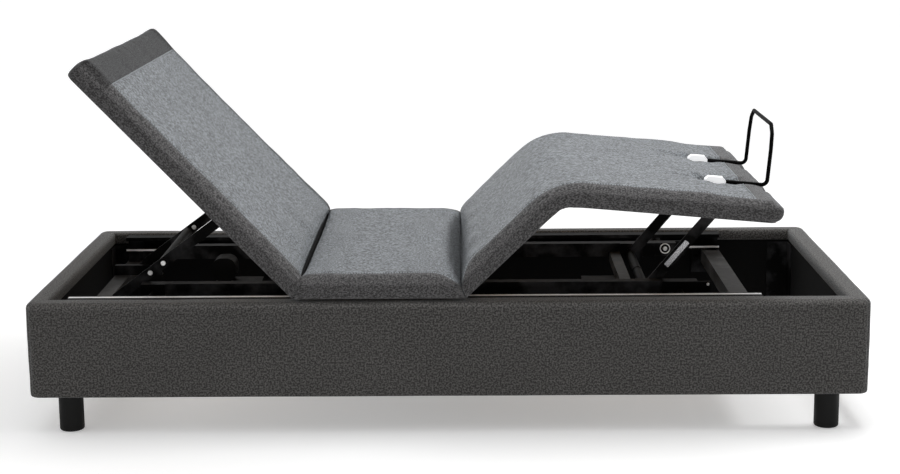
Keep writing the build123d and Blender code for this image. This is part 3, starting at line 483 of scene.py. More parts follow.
def box_surface(us, ys, vs):
    """The surface of a box as a grid on the given lines: points, quads, and each quad's side."""
    index, points, quads, sides = {}, [], [], []

    def vertex(i, j, k):
        key = (i, j, k)
        if key not in index:
            index[key] = len(points)
            points.append((us[i], ys[j], vs[k]))
        return index[key]

    def quad(i, j, k, first, second, side):
        """A face from one corner, a step along each of two ways."""
        both = [a + b for a, b in zip(first, second)]
        quads.append(tuple(vertex(i + di, j + dj, k + dk) for di, dj, dk in ((0, 0, 0), first, both, second)))
        sides.append(side)

    nu, ny, nv = len(us) - 1, len(ys) - 1, len(vs) - 1
    for i in range(nu):
        for j in range(ny):
            for k, side in ((0, "under"), (nv, "top")):
                quad(i, j, k, ALONG, ACROSS, side)
    for i in range(nu):
        for k in range(nv):
            for j, side in ((0, "right"), (ny, "left")):
                quad(i, j, k, ALONG, UP, side)
    for j in range(ny):
        for k in range(nv):
            for i, side in ((0, "near"), (nu, "far")):
                quad(i, j, k, ACROSS, UP, side)
    return np.array(points, float), quads, sides


def lines(low, high, marks, step):
    """Grid lines from low to high: close at the ends and beside every mark, and step apart between."""
    found = set()
    for edge, way in ((low, 1), (high, -1)):
        for gap in EDGE_GAPS:
            found.add(round(edge + way * gap * MM, 6))
    for mark in marks:
        for gap in MARK_GAPS:
            found.add(round(mark + gap * MM, 6))
    count = int((high - low) / step)
    kept = sorted(x for x in found if low - ROUNDING <= x <= high + ROUNDING)
    for x in np.linspace(low, high, count + 1):
        if min(abs(x - y) for y in kept) > CLOSEST_SHARE * step:
            kept.append(round(float(x), 6))
            kept.sort()
    clean = [kept[0]]
    for x in kept[1:]:
        if x - clean[-1] > CLOSEST_LINES:
            clean.append(x)
    clean[-1] = high
    return clean


def unit(vectors):
    """The same vectors one long, and zero ones as they are."""
    length = np.linalg.norm(vectors, axis=1, keepdims=True)
    length[length < 1e-12] = 1
    return vectors / length


def round_box(p, low, high, radius):
    """Round the edges of box surface points."""
    inner = np.clip(p, np.array(low) + radius, np.array(high) - radius)
    return inner + unit(p - inner) * radius


def mesh_normals(points, quads):
    q = np.array(quads)
    a, b, c, d = (points[q[:, i]] for i in range(4))
    face = np.cross(c - a, d - b)
    total = np.zeros_like(points)
    for i in range(4):
        np.add.at(total, q[:, i], face)
    return unit(total)


def ripple(points, scale, seed, depth=3):
    """Smooth noise from -1 to 1 at the given points."""
    shift = Vector((seed, seed * 0.7, 0))
    return np.array([noise.fractal(Vector(p * scale) + shift, 0.6, 2.0, depth) for p in points])


def hump(x, centre, width):
    return np.exp(-((x - centre) / width) ** 2)


def soft_step(x):
    x = np.clip(x, 0, 1)
    return x * x * (3 - 2 * x)


def face_outwards(mesh):
    edit = bmesh.new()
    edit.from_mesh(mesh)
    bmesh.ops.recalc_face_normals(edit, faces=edit.faces)
    edit.to_mesh(mesh)
    edit.free()


def make_piece(name, points, quads, materials, chosen, flat, smooth=True):
    """A mesh object with its unrolled fabric coordinates in the flat attribute."""
    mesh = bpy.data.meshes.new(name)
    mesh.from_pydata([tuple(p) for p in points], [], [tuple(q) for q in quads])
    for material in materials:
        mesh.materials.append(material)
    if chosen is not None:
        mesh.polygons.foreach_set("material_index", chosen)
    attribute = mesh.attributes.new("flat", "FLOAT_VECTOR", "POINT")
    attribute.data.foreach_set("vector", np.asarray(flat, np.float32).ravel())
    face_outwards(mesh)
    mesh.polygons.foreach_set("use_smooth", [smooth] * len(mesh.polygons))
    mesh.update()
    piece = bpy.data.objects.new(name, mesh)
    scene.collection.objects.link(piece)
    return piece


def set_painted_shade(piece, values):
    """Painted shade at each point, standing in for shade in folds and under edges: 0 leaves the fabric's own
    colour, 1 paints it black.
    """
    attribute = piece.data.attributes.new("crease", "FLOAT", "POINT")
    attribute.data.foreach_set("value", values.astype(np.float32))


# ---- cloth simulation of a pad's top
SIM_STEP = 0.014
SIM_FRAMES = 18
SIM_CAP = 0.0045
SIM_SHARE = 0.5
SIM_LEVELS = (0.0, 0.016, 0.032)
CLOTH = dict(quality=6, mass=0.2, tension_stiffness=12, compression_stiffness=12, shear_stiffness=6,
             bending_stiffness=1.2, use_pressure=True, uniform_pressure_force=4)


def simulated_top(name, length, slack):
    """How far the cover of a foam slab puffs and ripples off its top, as a grid over (u, y)."""
    nu = int(length / SIM_STEP) + 1
    ny = int(2 * DECK_HALF / SIM_STEP) + 1
    us, ys = np.linspace(0, length, nu), np.linspace(-DECK_HALF, DECK_HALF, ny)
    points, quads, _ = box_surface(us, ys, SIM_LEVELS)
    mesh = bpy.data.meshes.new(name)
    mesh.from_pydata([tuple(p) for p in points], [], quads)
    face_outwards(mesh)
    slab = bpy.data.objects.new(name, mesh)
    scene.collection.objects.link(slab)
    pinned = slab.vertex_groups.new(name="pinned")
    pinned.add([i for i, p in enumerate(points) if p[2] < SIM_LEVELS[1] + SAME], 1.0, "REPLACE")
    cloth = slab.modifiers.new("cloth", "CLOTH")
    for setting, value in CLOTH.items():
        setattr(cloth.settings, setting, value)
    cloth.settings.shrink_min = -slack
    cloth.settings.vertex_group_mass = "pinned"
    cloth.settings.effector_weights.gravity = 0
    cloth.point_cache.frame_start = 1
    cloth.point_cache.frame_end = SIM_FRAMES
    for at in range(1, SIM_FRAMES + 1):
        scene.frame_set(at)
    shown = slab.evaluated_get(bpy.context.evaluated_depsgraph_get())
    moved = np.array([v.co[2] for v in shown.data.vertices]) - points[:, 2]
    top = np.zeros((nu, ny))
    where = {(round(u, 5), round(y, 5)): (i, j) for i, u in enumerate(us) for j, y in enumerate(ys)}
    for p, rise in zip(points, moved):
        if p[2] > SIM_LEVELS[-1] - SAME:
            top[where[(round(p[0], 5), round(p[1], 5))]] = rise
    scene.frame_set(1)
    bpy.data.objects.remove(slab)
    return us, ys, np.clip(top * SIM_SHARE, -SIM_CAP, SIM_CAP)


def sample(grid, u, y):
    """Bilinear value of a simulated grid."""
    us, ys, top = grid
    fu = np.clip(u / us[-1] * (len(us) - 1), 0, len(us) - 1.001)
    fy = np.clip((y - ys[0]) / (ys[-1] - ys[0]) * (len(ys) - 1), 0, len(ys) - 1.001)
    i, j = fu.astype(int), fy.astype(int)
    a, b = fu - i, fy - j
    return ((1 - a) * (1 - b) * top[i, j] + a * (1 - b) * top[i + 1, j]
            + (1 - a) * b * top[i, j + 1] + a * b * top[i + 1, j + 1])


# ---- placing a cover on its sections
BEVEL_SPREAD = 0.13
BEVEL_CLEAR = 0.0008


def bevelled(u, v, length, near, far):
    """Slope the ends of a pad back from their hinges."""
    rise = np.clip(v, 0, None)
    if near:
        back = rise * math.tan(math.radians(near)) + BEVEL_CLEAR
        u = u + back * np.clip(1 - u / BEVEL_SPREAD, 0, 1)
    if far:
        back = rise * math.tan(math.radians(far)) + BEVEL_CLEAR
        u = u - back * np.clip(1 - (length - u) / BEVEL_SPREAD, 0, 1)
    return u


def knee_place(p):
    """Place a leg cover's flat points: straight on each section, round the knee between."""
    u, y, v = p[:, 0], p[:, 1], p[:, 2]
    thigh = math.radians(THIGH_TILT)
    half_turn = math.radians(THIGH_TILT - CALF_TILT) / 2
    slope = math.tan(half_turn)

    def on_path(off, start, end, radius):
        level = np.full_like(u, off)
        on_thigh = THIGH.place(np.stack([u, y * 0, level], 1))
        on_calf = CALF.place(np.stack([u - THIGH_LENGTH, y * 0, level], 1))
        turn = thigh - np.clip((u - start) / (end - start), 0, 1)[:, None] * 2 * half_turn
        begin = THIGH.place(np.array([[start, 0, off]]))[0]
        swept = [math.sin(thigh) - np.sin(turn), turn * 0, np.cos(turn) - math.cos(thigh)]
        round_knee = begin + radius * np.concatenate(swept, 1)
        return np.where((u < start)[:, None], on_thigh, np.where((u > end)[:, None], on_calf, round_knee))

    half_arc = (KNEE_RADIUS - PAD_HIGH) * slope
    top = on_path(PAD_HIGH, THIGH_LENGTH - half_arc, THIGH_LENGTH + half_arc, KNEE_RADIUS)
    half_arc = KNEE_UNDER_REACH - PAD_LOW * slope
    low = on_path(PAD_LOW, THIGH_LENGTH - half_arc, THIGH_LENGTH + half_arc, half_arc / slope)
    made = low + (top - low) * ((v - PAD_LOW) / (PAD_HIGH - PAD_LOW))[:, None]
    made[:, 1] = y
    return made


# ---- deck covers
GRID_STEP = 0.011
LEVELS = [v * MM for v in (5, 7, 12, 20, 28, 36, 42, 46, 49.5, 53, 56, 58, 59)]
UNDER_DROP = 0.012             # the box runs on below the pad, so that its lower edges stay sharp
END_ROUND_CUT = 0.0195         # and past the bevelled ends, so that they are rounded less
END_ROUND_SPREAD = 0.06
PLY_CLEAR = 0.001
TOP_FROM, TOP_SPAN = 0.040, 0.019
SEAM_WIDTH, SEAM_DEPTH = 0.0028, 0.0022
SWAY = ((6.0, 3.1, 0.0011), (22.0, 7.7, 0.0005))      # scale, seed and height of slow ripples
LIGHT_END_LOW = 0.02
# Painted shade: a cover's sides are darkened below its rounded top edge, so that the edge reads lit; painted fold
# shade goes no darker than DARKEST_FOLD.
FLANK_SHADE = 0.36
FLANK_FROM, FLANK_SPAN = 0.036, 0.010
DARKEST_FOLD = 0.8
SEAM_WANDER, SEAM_WANDER_WIDTH = 0.0018, 0.022
SEAM_END = 0.012
STITCH_PITCH = 0.0065
STITCH_LENGTH = 0.0056
STITCH_RADIUS = 0.0014
STITCH_RISE = 0.0010
STITCH_SIDES = 4


def seam_wander(p):
    """The slight wander of a hand-guided seam."""
    drift = np.sin(p[:, 0] * 31 + p[:, 1] * 3) + 0.6 * np.sin(p[:, 0] * 71 + 2.0)
    return SEAM_WANDER * drift * hump(np.abs(p[:, 1]), SEAM_Y, SEAM_WANDER_WIDTH)


def rounded_pad(box, length, near, far):
    """Box surface points with the pad's edges rounded and its underside raised over the plywood."""
    low = (0, -DECK_HALF, PAD_LOW - UNDER_DROP)
    high = (length, DECK_HALF, PAD_HIGH)
    spread = box.copy()
    if near:
        spread[:, 0] -= END_ROUND_CUT * np.clip(1 - box[:, 0] / END_ROUND_SPREAD, 0, 1)
        low = (-END_ROUND_CUT, low[1], low[2])
    if far:
        spread[:, 0] += END_ROUND_CUT * np.clip(1 - (length - box[:, 0]) / END_ROUND_SPREAD, 0, 1)
        high = (length + END_ROUND_CUT, high[1], high[2])
    p = round_box(spread, low, high, EDGE_ROUND)
    p[:, 0] = np.clip(p[:, 0], 0, length)
    p[:, 2] = np.maximum(p[:, 2], PAD_LOW)
    over_ply = (np.abs(box[:, 1]) < DECK_HALF - PLY_INSET) & (box[:, 0] > PLY_INSET)
    over_ply &= (box[:, 0] < length - PLY_INSET) & (box[:, 2] < PAD_LOW + SAME)
    p[over_ply, 2] = PLY_HIGH + PLY_CLEAR
    return p


def seam_groove(p, seams):
    """How much a point lies in a sewn seam, from 0 to 1."""
    near_seam, far_seam = seams
    y = np.abs(p[:, 1])
    along = hump(y, SEAM_Y, SEAM_WIDTH) * (p[:, 0] > near_seam) * (p[:, 0] < far_seam)
    across = np.maximum(hump(p[:, 0], near_seam, SEAM_WIDTH), hump(p[:, 0], far_seam, SEAM_WIDTH))
    return np.maximum(along, across * (y < SEAM_Y))


def panel_faces(box, quads, sides, borders, seams):
    """1 for the faces of the light panel, 0 for those of the dark border."""
    chosen = []
    for quad, side in zip(quads, sides):
        middle = box[list(quad)].mean(0)
        light = side in ("top", "near", "far") and abs(middle[1]) < SEAM_Y and seams[0] < middle[0] < seams[1]
        if side in ("near", "far"):
            bordered = borders[0] if side == "near" else borders[1]
            light = light and middle[2] >= LIGHT_END_LOW and not bordered
        chosen.append(1 if light else 0)
    return chosen


def cover(name, place, length, bevels, borders, slack, shape, crease):
    """A sewn pad cover: rounded, bevelled and puffed, with a light panel inside a dark border, and painted shade in
    its folds and down its sides.

    bevels and borders are (near, far): the ends' slopes, and the dark bands' widths at the ends."""
    near, far = bevels
    grid = simulated_top(name.replace("cover", "slab"), length, slack)
    seams = (borders[0] if borders[0] else -1, length - borders[1] if borders[1] else length + 1)
    marks = [m for m in (*seams, PLY_INSET, length - PLY_INSET) if 0 < m < length]
    us = lines(0, length, marks, GRID_STEP)
    ys = lines(-DECK_HALF, DECK_HALF, (-SEAM_Y, SEAM_Y), GRID_STEP)
    box, quads, sides = box_surface(us, ys, LEVELS)
    p = rounded_pad(box, length, near, far)
    normals = mesh_normals(p, quads)
    outward = np.sign(np.sum(normals * (p - p.mean(0)), axis=1))
    if np.median(outward[p[:, 2] > PAD_HIGH - MM]) < 0:
        normals = -normals
    topness = np.clip((box[:, 2] - TOP_FROM) / TOP_SPAN, 0, 1)
    puff = sample(grid, p[:, 0], p[:, 1]) * topness - SEAM_DEPTH * seam_groove(p, seams) * topness
    sway = sum(ripple(p, scale, seed) * height for scale, seed, height in SWAY)
    puff = puff + np.where(box[:, 2] < PAD_LOW + SAME, 0, sway)
    p = shape(p + normals * puff[:, None], box)
    p[:, 1] += seam_wander(p) * topness
    flat = p.copy()
    on_side = np.abs(box[:, 1]) > DECK_HALF - SAME
    flat[:, 1] += np.where(box[:, 1] > 0, 1, -1) * (PAD_HIGH - box[:, 2]) * on_side
    p[:, 0] = bevelled(p[:, 0], p[:, 2], length, near, far)
    chosen = panel_faces(box, quads, sides, borders, seams)
    piece = make_piece(name, place(p), quads, (MATERIALS["charcoal_border"], MATERIALS["grey_panel"]), chosen, flat)
    # Painted shade: fold lines on the top, and the sides painted darker below the rounded top edge so that the edge
    # reads lit.
    folds = np.clip(crease(p[:, 0], box[:, 1]), 0, DARKEST_FOLD) * topness
    flank = FLANK_SHADE * (1 - soft_step((p[:, 2] - FLANK_FROM) / FLANK_SPAN))
    set_painted_shade(piece, np.maximum(folds, flank))
    smooth = piece.modifiers.new("smooth", "SUBSURF")
    smooth.levels = smooth.render_levels = 1
    tree = BVHTree.FromObject(piece, bpy.context.evaluated_depsgraph_get())

    def surface(u, y):
        """World points on the cover's top, just above its fabric."""
        q = np.stack([u, y, PAD_HIGH + sample(grid, u, y)], 1)
        q = shape(q, q)
        q[:, 1] += seam_wander(q)
        q[:, 0] = bevelled(q[:, 0], q[:, 2], length, near, far)
        hits = [tree.find_nearest(Vector(spot)) for spot in place(q)]
        return np.array([spot + normal * STITCH_RISE for spot, normal, _, _ in hits])

    start = max(seams[0], SEAM_END if near else 0.0)
    end = min(seams[1], length - SEAM_END if far else length)
    runs = [[(start, side * SEAM_Y), (end, side * SEAM_Y)] for side in (-1, 1)]
    runs += [[(seam, -SEAM_Y), (seam, SEAM_Y)] for seam in seams if 0 < seam < length]
    return piece, stitches(name.replace("cover", "stitching"), surface, runs)


def stitches(name, surface, runs):
    """Lock stitches along a cover's seams, each a small tapered grain of thread."""
    points, faces = [], []
    for (u0, y0), (u1, y1) in runs:
        span = math.hypot(u1 - u0, y1 - y0)
        count = int(span / STITCH_PITCH)
        middles = (np.arange(count) + 0.5) / count
        half = STITCH_LENGTH / 2 / span
        first, last = (surface(u0 + (u1 - u0) * share, y0 + (y1 - y0) * share)
                       for share in (middles - half, middles + half))
        for a, b in zip(first, last):
            along = (b - a) / np.linalg.norm(b - a)
            side = np.cross(along, (0.0, 1.0, 0.0) if abs(along[1]) < 0.7 else (1.0, 0.0, 0.0))
            side /= np.linalg.norm(side)
            other = np.cross(along, side)
            base = len(points)
            points.append(a)
            for turn in range(STITCH_SIDES):
                angle = 2 * math.pi * turn / STITCH_SIDES
                out = math.cos(angle) * side + math.sin(angle) * other
                points.append((a + b) / 2 + STITCH_RADIUS * out)
            points.append(b)
            for turn in range(STITCH_SIDES):
                one, two = base + 1 + turn, base + 1 + (turn + 1) % STITCH_SIDES
                faces.append((base, one, two))
                faces.append((base + STITCH_SIDES + 1, two, one))
    return make_piece(name, points, faces, (MATERIALS["stitch_thread"],), None, points)


# ---- shapes of the three covers
UPPER_FROM, UPPER_SPAN = 0.03, 0.03
END_WIDTH = 0.05               # how far from an end its fullness reaches
MEET_SIDES = 0.0102            # how far the back and seat ends reach into their joint at both sides
MEET_CORNERS = 0.007
MEET_CORNER_POWER = 24
BACK_MIDDLE_HOLD = 0.001
SEAT_MEET_FROM = 0.022         # below this the seat's end stays straight, clear of the back board
BACK_RIPPLE = 0.0022
FAR_EDGE_RISE, FAR_EDGE_INSET, FAR_EDGE_WIDTH = 0.0045, 0.018, 0.014
HEAD_FULLNESS, HEAD_RISE, HEAD_RISE_INSET = 0.007, 0.004, 0.02
PUCKER = 0.0022
# How deep the fabric is pulled down into the thigh joint, from the right side to the left.
JOINT_DIP = ((-DECK_HALF, -0.2, 0.2, DECK_HALF), (0.024, 0.021, 0.017, 0.004))
JOINT_DIP_WIDTH = 0.030
SEAT_FOLDS = ((0.075, 0.02, 0.022, 0.0032), (SEAT_LENGTH - 0.115, 0.03, 0.026, 0.0030))
SEAT_RIPPLE = 0.0014
CLIP_HOLLOW = (0.040, 0.026)
CLIP_HOLLOW_DEPTH = 0.0185
ROD_TROUGH_DEPTH = 0.0125
ROD_TROUGH_RIGHT, ROD_TROUGH_LEFT = 0.032, 0.020
CLIP_STAR = 0.0022
FOOT_LOWER, FOOT_LOWER_RUN = 0.0060, 0.060
KNEE_GATHER = 0.0014
THIGH_PULL = 0.0022
FOOT_FULLNESS, FOOT_ROUNDING, FOOT_WIDTH = 0.004, 0.014, 0.03
KNEE_SAG = 0.0025


def upper(box):
    """0 on the lower half of a cover, rising to 1 on its top."""
    return np.clip((box[:, 2] - UPPER_FROM) / UPPER_SPAN, 0, 1)


def from_middle(y, power):
    return (np.abs(y) / DECK_HALF) ** power


def back_shape(p, box):
    """The back cover: ripples at its foot, an end that meets the seat at both sides, a full head end."""
    u, y, top = p[:, 0].copy(), p[:, 1], upper(box)
    height = np.clip(box[:, 2] / PAD_HIGH, 0, 1)
    p[:, 2] += BACK_RIPPLE * np.sin(y * 21 + np.sin(y * 9) * 1.4) * hump(u, 0.05, 0.07) * top
    p[:, 2] += FAR_EDGE_RISE * hump(y, DECK_HALF - FAR_EDGE_INSET, FAR_EDGE_WIDTH) * top
    reach = MEET_SIDES * from_middle(y, 3) + MEET_CORNERS * from_middle(y, MEET_CORNER_POWER)
    reach = reach - BACK_MIDDLE_HOLD
    p[:, 0] -= hump(u, 0.0, END_WIDTH) * height * reach
    ear = 0.5 + 0.5 * from_middle(y, 6)
    p[:, 0] += hump(u, BACK_LENGTH, END_WIDTH) * HEAD_FULLNESS * ear
    p[:, 2] += hump(u, BACK_LENGTH - HEAD_RISE_INSET, END_WIDTH) * HEAD_RISE * ear * top
    on_side = np.abs(box[:, 1]) > DECK_HALF - MM
    p[:, 1] -= np.sign(y) * PUCKER * hump(u, 0.02, 0.035) * on_side * np.sin(box[:, 2] * 260 + 1)
    return p


def seat_shape(p, box):
    """The seat cover: folds beside both joints, a valley at the thigh, an end that meets the back."""
    u, y, top = p[:, 0].copy(), p[:, 1], upper(box)
    height = np.clip((box[:, 2] - SEAT_MEET_FROM) / (PAD_HIGH - SEAT_MEET_FROM), 0, 1)
    edge = from_middle(y, 4)
    fold = sum(hump(u, centre + skew * y, width) * rise for centre, skew, width, rise in SEAT_FOLDS)
    p[:, 2] += fold * top * (1 - edge)
    wave = np.sin(y * 17 + 1.1) * hump(u, 0.05, 0.06)
    wave = wave + np.sin(y * 13 + np.sin(y * 6)) * hump(u, SEAT_LENGTH - 0.08, 0.06)
    p[:, 2] += wave * SEAT_RIPPLE * top
    p[:, 2] -= np.interp(y, *JOINT_DIP) * hump(u, SEAT_LENGTH, JOINT_DIP_WIDTH) * top
    reach = MEET_SIDES * edge + MEET_CORNERS * from_middle(y, MEET_CORNER_POWER)
    p[:, 0] -= hump(u, 0.0, END_WIDTH) * height * reach
    return p


def legs_shape(p, box):
    """The leg cover: hollows round the retainer clips and rods, gathers over and under the knee."""
    u, y, top = p[:, 0].copy(), p[:, 1], upper(box)
    for side in (-1, 1):
        past, off = u - CLIP_U, y - side * CLIP_Y
        away = np.hypot(past / CLIP_HOLLOW[0], off / CLIP_HOLLOW[1])
        held = np.exp(-np.clip(away - 0.9, 0, None) ** 2 * 1.6)
        p[:, 2] -= CLIP_HOLLOW_DEPTH * held * top
        trough = hump(off, 0, np.where(off < 0, ROD_TROUGH_RIGHT, ROD_TROUGH_LEFT)) * (past > 0)
        p[:, 2] -= ROD_TROUGH_DEPTH * trough * top * (1 - held)
        angle = np.arctan2(off, past)
        p[:, 2] += CLIP_STAR * np.cos(angle * 9 + side) * hump(away, 2.2, 1.6) * top
    p[:, 2] -= FOOT_LOWER * soft_step((u - CLIP_U + FOOT_LOWER_RUN) / FOOT_LOWER_RUN) * top
    p[:, 2] += KNEE_GATHER * np.sin(y * 15 + np.sin(y * 7) * 1.2) * hump(u, THIGH_LENGTH, 0.05) * top
    p[:, 2] -= np.interp(y, *JOINT_DIP) * hump(u, 0.0, JOINT_DIP_WIDTH) * top
    p[:, 2] += THIGH_PULL * np.sin((y + u * 0.9) * 34) * hump(u, 0.055, 0.035) * top
    off_centre = (box[:, 2] - (PAD_LOW + PAD_HIGH) / 2) / ((PAD_HIGH - PAD_LOW) / 2)
    p[:, 0] += hump(u, LEGS_LENGTH, FOOT_WIDTH) * (FOOT_FULLNESS - FOOT_ROUNDING * np.abs(off_centre) ** 3)
    low = np.clip((0.022 - box[:, 2]) / 0.017, 0, 1)
    sag = KNEE_SAG * low * hump(u, THIGH_LENGTH, 0.030) * (np.abs(y) > DECK_HALF - 0.03)
    p[:, 2] -= sag * (1 + 0.4 * np.sin(u * 260))
    return p


# ---- painted shade of creases, folds and bands on the covers
# Painted shade: how dark the back's head band and the seat's slope into the thigh joint are painted, and where.
HEAD_BAND_SHADE, HEAD_BAND_EDGE = 0.50, 0.003
JOINT_SHADE, JOINT_SHADE_RUN, JOINT_SHADE_LEAD = 0.70, 0.020, 0.016
JOINT_SHADE_MIDDLE, JOINT_SHADE_ENDS = 0.042, 0.005
# Painted shade of folds that fan out from a corner: direction, spread in degrees and darkness.
CORNER_FOLDS = ((9, 3.0, 0.50), (20, 3.5, 0.38), (35, 3.5, 0.18))
FOLD_START, FOLD_FADE_FROM, FOLD_FADE_RUN = 0.03, 0.10, 0.28
CLIP_RAYS, CLIP_RAY_SHADE, CLIP_RING_SHADE = 8, 0.30, 0.25


def back_painted_shade(u, y):
    """Painted shade: a darker band at the head end, and soft streaks of fold shade across the foot of the back
    panel.
    """
    streak = np.sin(u * 120 + np.sin(y * 7) * 1.5)
    band = HEAD_BAND_SHADE * soft_step((u - (BACK_LENGTH - HEAD_BORDER)) / HEAD_BAND_EDGE)
    return band + 0.05 * np.clip(streak, 0, 1) * hump(u, 0.07, 0.05)


def seat_painted_shade(u, y):
    """Painted shade on the slope down into the thigh joint, and soft streaks of fold shade behind both ends."""
    width = JOINT_SHADE_MIDDLE * (1 - from_middle(y, 3)) + JOINT_SHADE_ENDS
    slope = JOINT_SHADE * soft_step((u - (SEAT_LENGTH - width - JOINT_SHADE_LEAD)) / JOINT_SHADE_RUN)
    streak = np.sin((u + 0.16 * y) * 95)
    return slope + 0.06 * np.clip(streak, 0, 1) * (hump(u, 0.09, 0.07) + hump(u, SEAT_LENGTH - 0.12, 0.07))


def legs_painted_shade(u, y):
    """Painted shade of folds that fan out from the right corner of the thigh joint, and of rays and a ring round
    the retainer clips.
    """
    reach = np.hypot(u, y + DECK_HALF)
    angle = np.degrees(np.arctan2(u, y + DECK_HALF))
    folds = sum(hump(angle, at, spread) * shade for at, spread, shade in CORNER_FOLDS)
    dark = folds * soft_step(reach / FOLD_START) * (1 - soft_step((reach - FOLD_FADE_FROM) / FOLD_FADE_RUN))
    for side in (-1, 1):
        du, dy = u - CLIP_U, y - side * CLIP_Y
        away = np.hypot(du, dy)
        star = 0.5 + 0.5 * np.cos(np.arctan2(dy, du) * CLIP_RAYS + math.radians(side * 20))
        dark = dark + CLIP_RAY_SHADE * star ** 3 * hump(away, 0.040, 0.022)
        dark = dark + CLIP_RING_SHADE * hump(away, 0.020, 0.012)
    return dark


def deck_covers():
    """The three covers, each with its stitching; the CAD pads under them are hidden."""
    back, back_thread = cover("back_cover", BACK.place, BACK_LENGTH, (BACK_BEVEL, 0), (0, HEAD_BORDER),
                              0.012, back_shape, back_painted_shade)
    seat, seat_thread = cover("seat_cover", SEAT.place, SEAT_LENGTH, (BACK_BEVEL, THIGH_BEVEL), (0, 0),
                              0.014, seat_shape, seat_painted_shade)
    legs, legs_thread = cover("legs_cover", knee_place, LEGS_LENGTH, (THIGH_BEVEL, 0), (0, FOOT_BORDER),
                              0.012, legs_shape, legs_painted_shade)
    for piece in (back, back_thread):
        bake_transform(piece)
    for piece in (seat, seat_thread):
        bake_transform(piece)
    for piece in (legs, legs_thread):
        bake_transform(piece)
    for piece, nodes in ((back, ("back_pad",)), (seat, ("seat_pad",)), (legs, ("thigh_pad", "calf_pad"))):
        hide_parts(*nodes)


# ---- fabric inside the back joint
GUSSET_HALF = 0.452
GUSSET_ROWS, GUSSET_COLUMNS = 100, 15
GUSSET_REACH = 0.026
GUSSET_LEVEL, GUSSET_SIDE_RISE = 0.040, 0.012
GUSSET_FOLD, GUSSET_SAG, GUSSET_DROP, GUSSET_RIPPLE = 0.016, 0.022, 0.010, 0.0016
GUSSET_THICK = 0.0012


def back_gusset():
    """Loose folds of cover fabric between the back and seat pads, down in the gap."""
    points, flat = [], []
    for y in np.linspace(-GUSSET_HALF, GUSSET_HALF, GUSSET_ROWS):
        side = (abs(y) / DECK_HALF) ** 6
        droop = 1 - 0.7 * side
        level = GUSSET_LEVEL + GUSSET_SIDE_RISE * side
        for s in np.linspace(0, 1, GUSSET_COLUMNS):
            spot = BACK.point(GUSSET_REACH, y, level).lerp(SEAT.point(GUSSET_REACH, y, level), s)
            fold = GUSSET_FOLD * abs(math.sin(math.pi * 2 * s)) - GUSSET_SAG * math.sin(math.pi * s)
            spot.z += (fold - GUSSET_DROP) * droop + GUSSET_RIPPLE * math.sin(y * 31 + s * 4)
            points.append(tuple(spot))
            flat.append((s * 0.05, y, 0))
    n = GUSSET_COLUMNS
    quads = [(i * n + j, i * n + j + 1, (i + 1) * n + j + 1, (i + 1) * n + j)
             for i in range(GUSSET_ROWS - 1) for j in range(n - 1)]
    piece = make_piece("back_gusset", points, quads, (MATERIALS["black_gusset"],), None, flat)
    piece.modifiers.new("thick", "SOLIDIFY").thickness = GUSSET_THICK
    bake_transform(piece)


# ---- painted highlight lines: near-white strips along the tracks' lips and top edge
LIP_THICK = 0.0006
LIP_DEPTH = 0.040
LIP_LEVELS = (0.0035, 0.0085)
TOP_EDGE_Y = (-0.384, -0.372)
STRIP_SOFTEN = 0.3


def strip(name, x, y, z, body):
    """A thin near-white strip with softened edges, painted as a highlight line."""
    mesh = bpy.data.meshes.new(name)
    edit = bmesh.new()
    bmesh.ops.create_cube(edit, size=1)
    for v in edit.verts:
        v.co = [low + (high - low) * (c + 0.5) for c, (low, high) in zip(v.co, (x, y, z))]
    small = min(high - low for low, high in (x, y, z))
    bmesh.ops.bevel(edit, geom=edit.edges[:], offset=small * STRIP_SOFTEN, segments=2, affect="EDGES")
    edit.to_mesh(mesh)
    edit.free()
    mesh.materials.append(MATERIALS["polished_edge"])
    piece = bpy.data.objects.new(name, mesh)
    scene.collection.objects.link(piece)
    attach(piece, body)


def track_highlight_strips():
    low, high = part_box("tracks")
    levels = tuple(low[2] + level for level in LIP_LEVELS)
    for side, name in ((-1, "right_lip_edge"), (1, "left_lip_edge")):
        mouth = side * (high[1] - LIP_DEPTH)
        strip(name, (low[0], high[0]), sorted((mouth, mouth - side * LIP_THICK)), levels, "base")
    strip("right_top_edge", (low[0], high[0]), TOP_EDGE_Y, (high[2], high[2] + LIP_THICK), "base")


# ---- bright bolt heads on the carriage
# Turned profiles as (radius, stand-off) pairs.
BOLT = ((0.0060, 0), (0.0060, 0.0028), (0.0050, 0.0040), (0.0030, 0.0042), (0.0027, 0.0022),
        (0.0004, 0.0020))
SMALL_BOLT = ((0.0036, 0), (0.0036, 0.0014), (0.0026, 0.0022), (0.0004, 0.0023))
RING = ((0.0145, 0), (0.0145, 0.0016), (0.0128, 0.0020), (0.0118, 0.0012), (0.0118, 0.0002))
BOLT_SEGMENTS = 20
RAIL_WIDTH = 0.030
PLATE_STAND = 0.005
LIFT_PLATE = 0.0045
ROLLER_BOLT = (0.014, 0.010)
LIFT_BOLT = (-0.004, 0.010)
PLATE_BOLT = (-0.006, -0.007)


def lathe_y(points, faces, centre, facing, profile):
    """Add a turned shape whose axis runs across the bed, with a cap where its profile closes."""
    base = len(points)
    for radius, off in profile:
        for k in range(BOLT_SEGMENTS):
            a = 2 * math.pi * k / BOLT_SEGMENTS
            points.append((centre[0] + radius * math.cos(a), centre[1] + facing * off,
                           centre[2] + radius * math.sin(a)))
    for ring in range(base, base + (len(profile) - 1) * BOLT_SEGMENTS, BOLT_SEGMENTS):
        for k in range(BOLT_SEGMENTS):
            one, two = ring + k, ring + (k + 1) % BOLT_SEGMENTS
            faces.append((one, two, two + BOLT_SEGMENTS, one + BOLT_SEGMENTS))
    if profile[-1][0] < MM:
        faces.append(tuple(range(len(points) - 1, len(points) - 1 - BOLT_SEGMENTS, -1)))


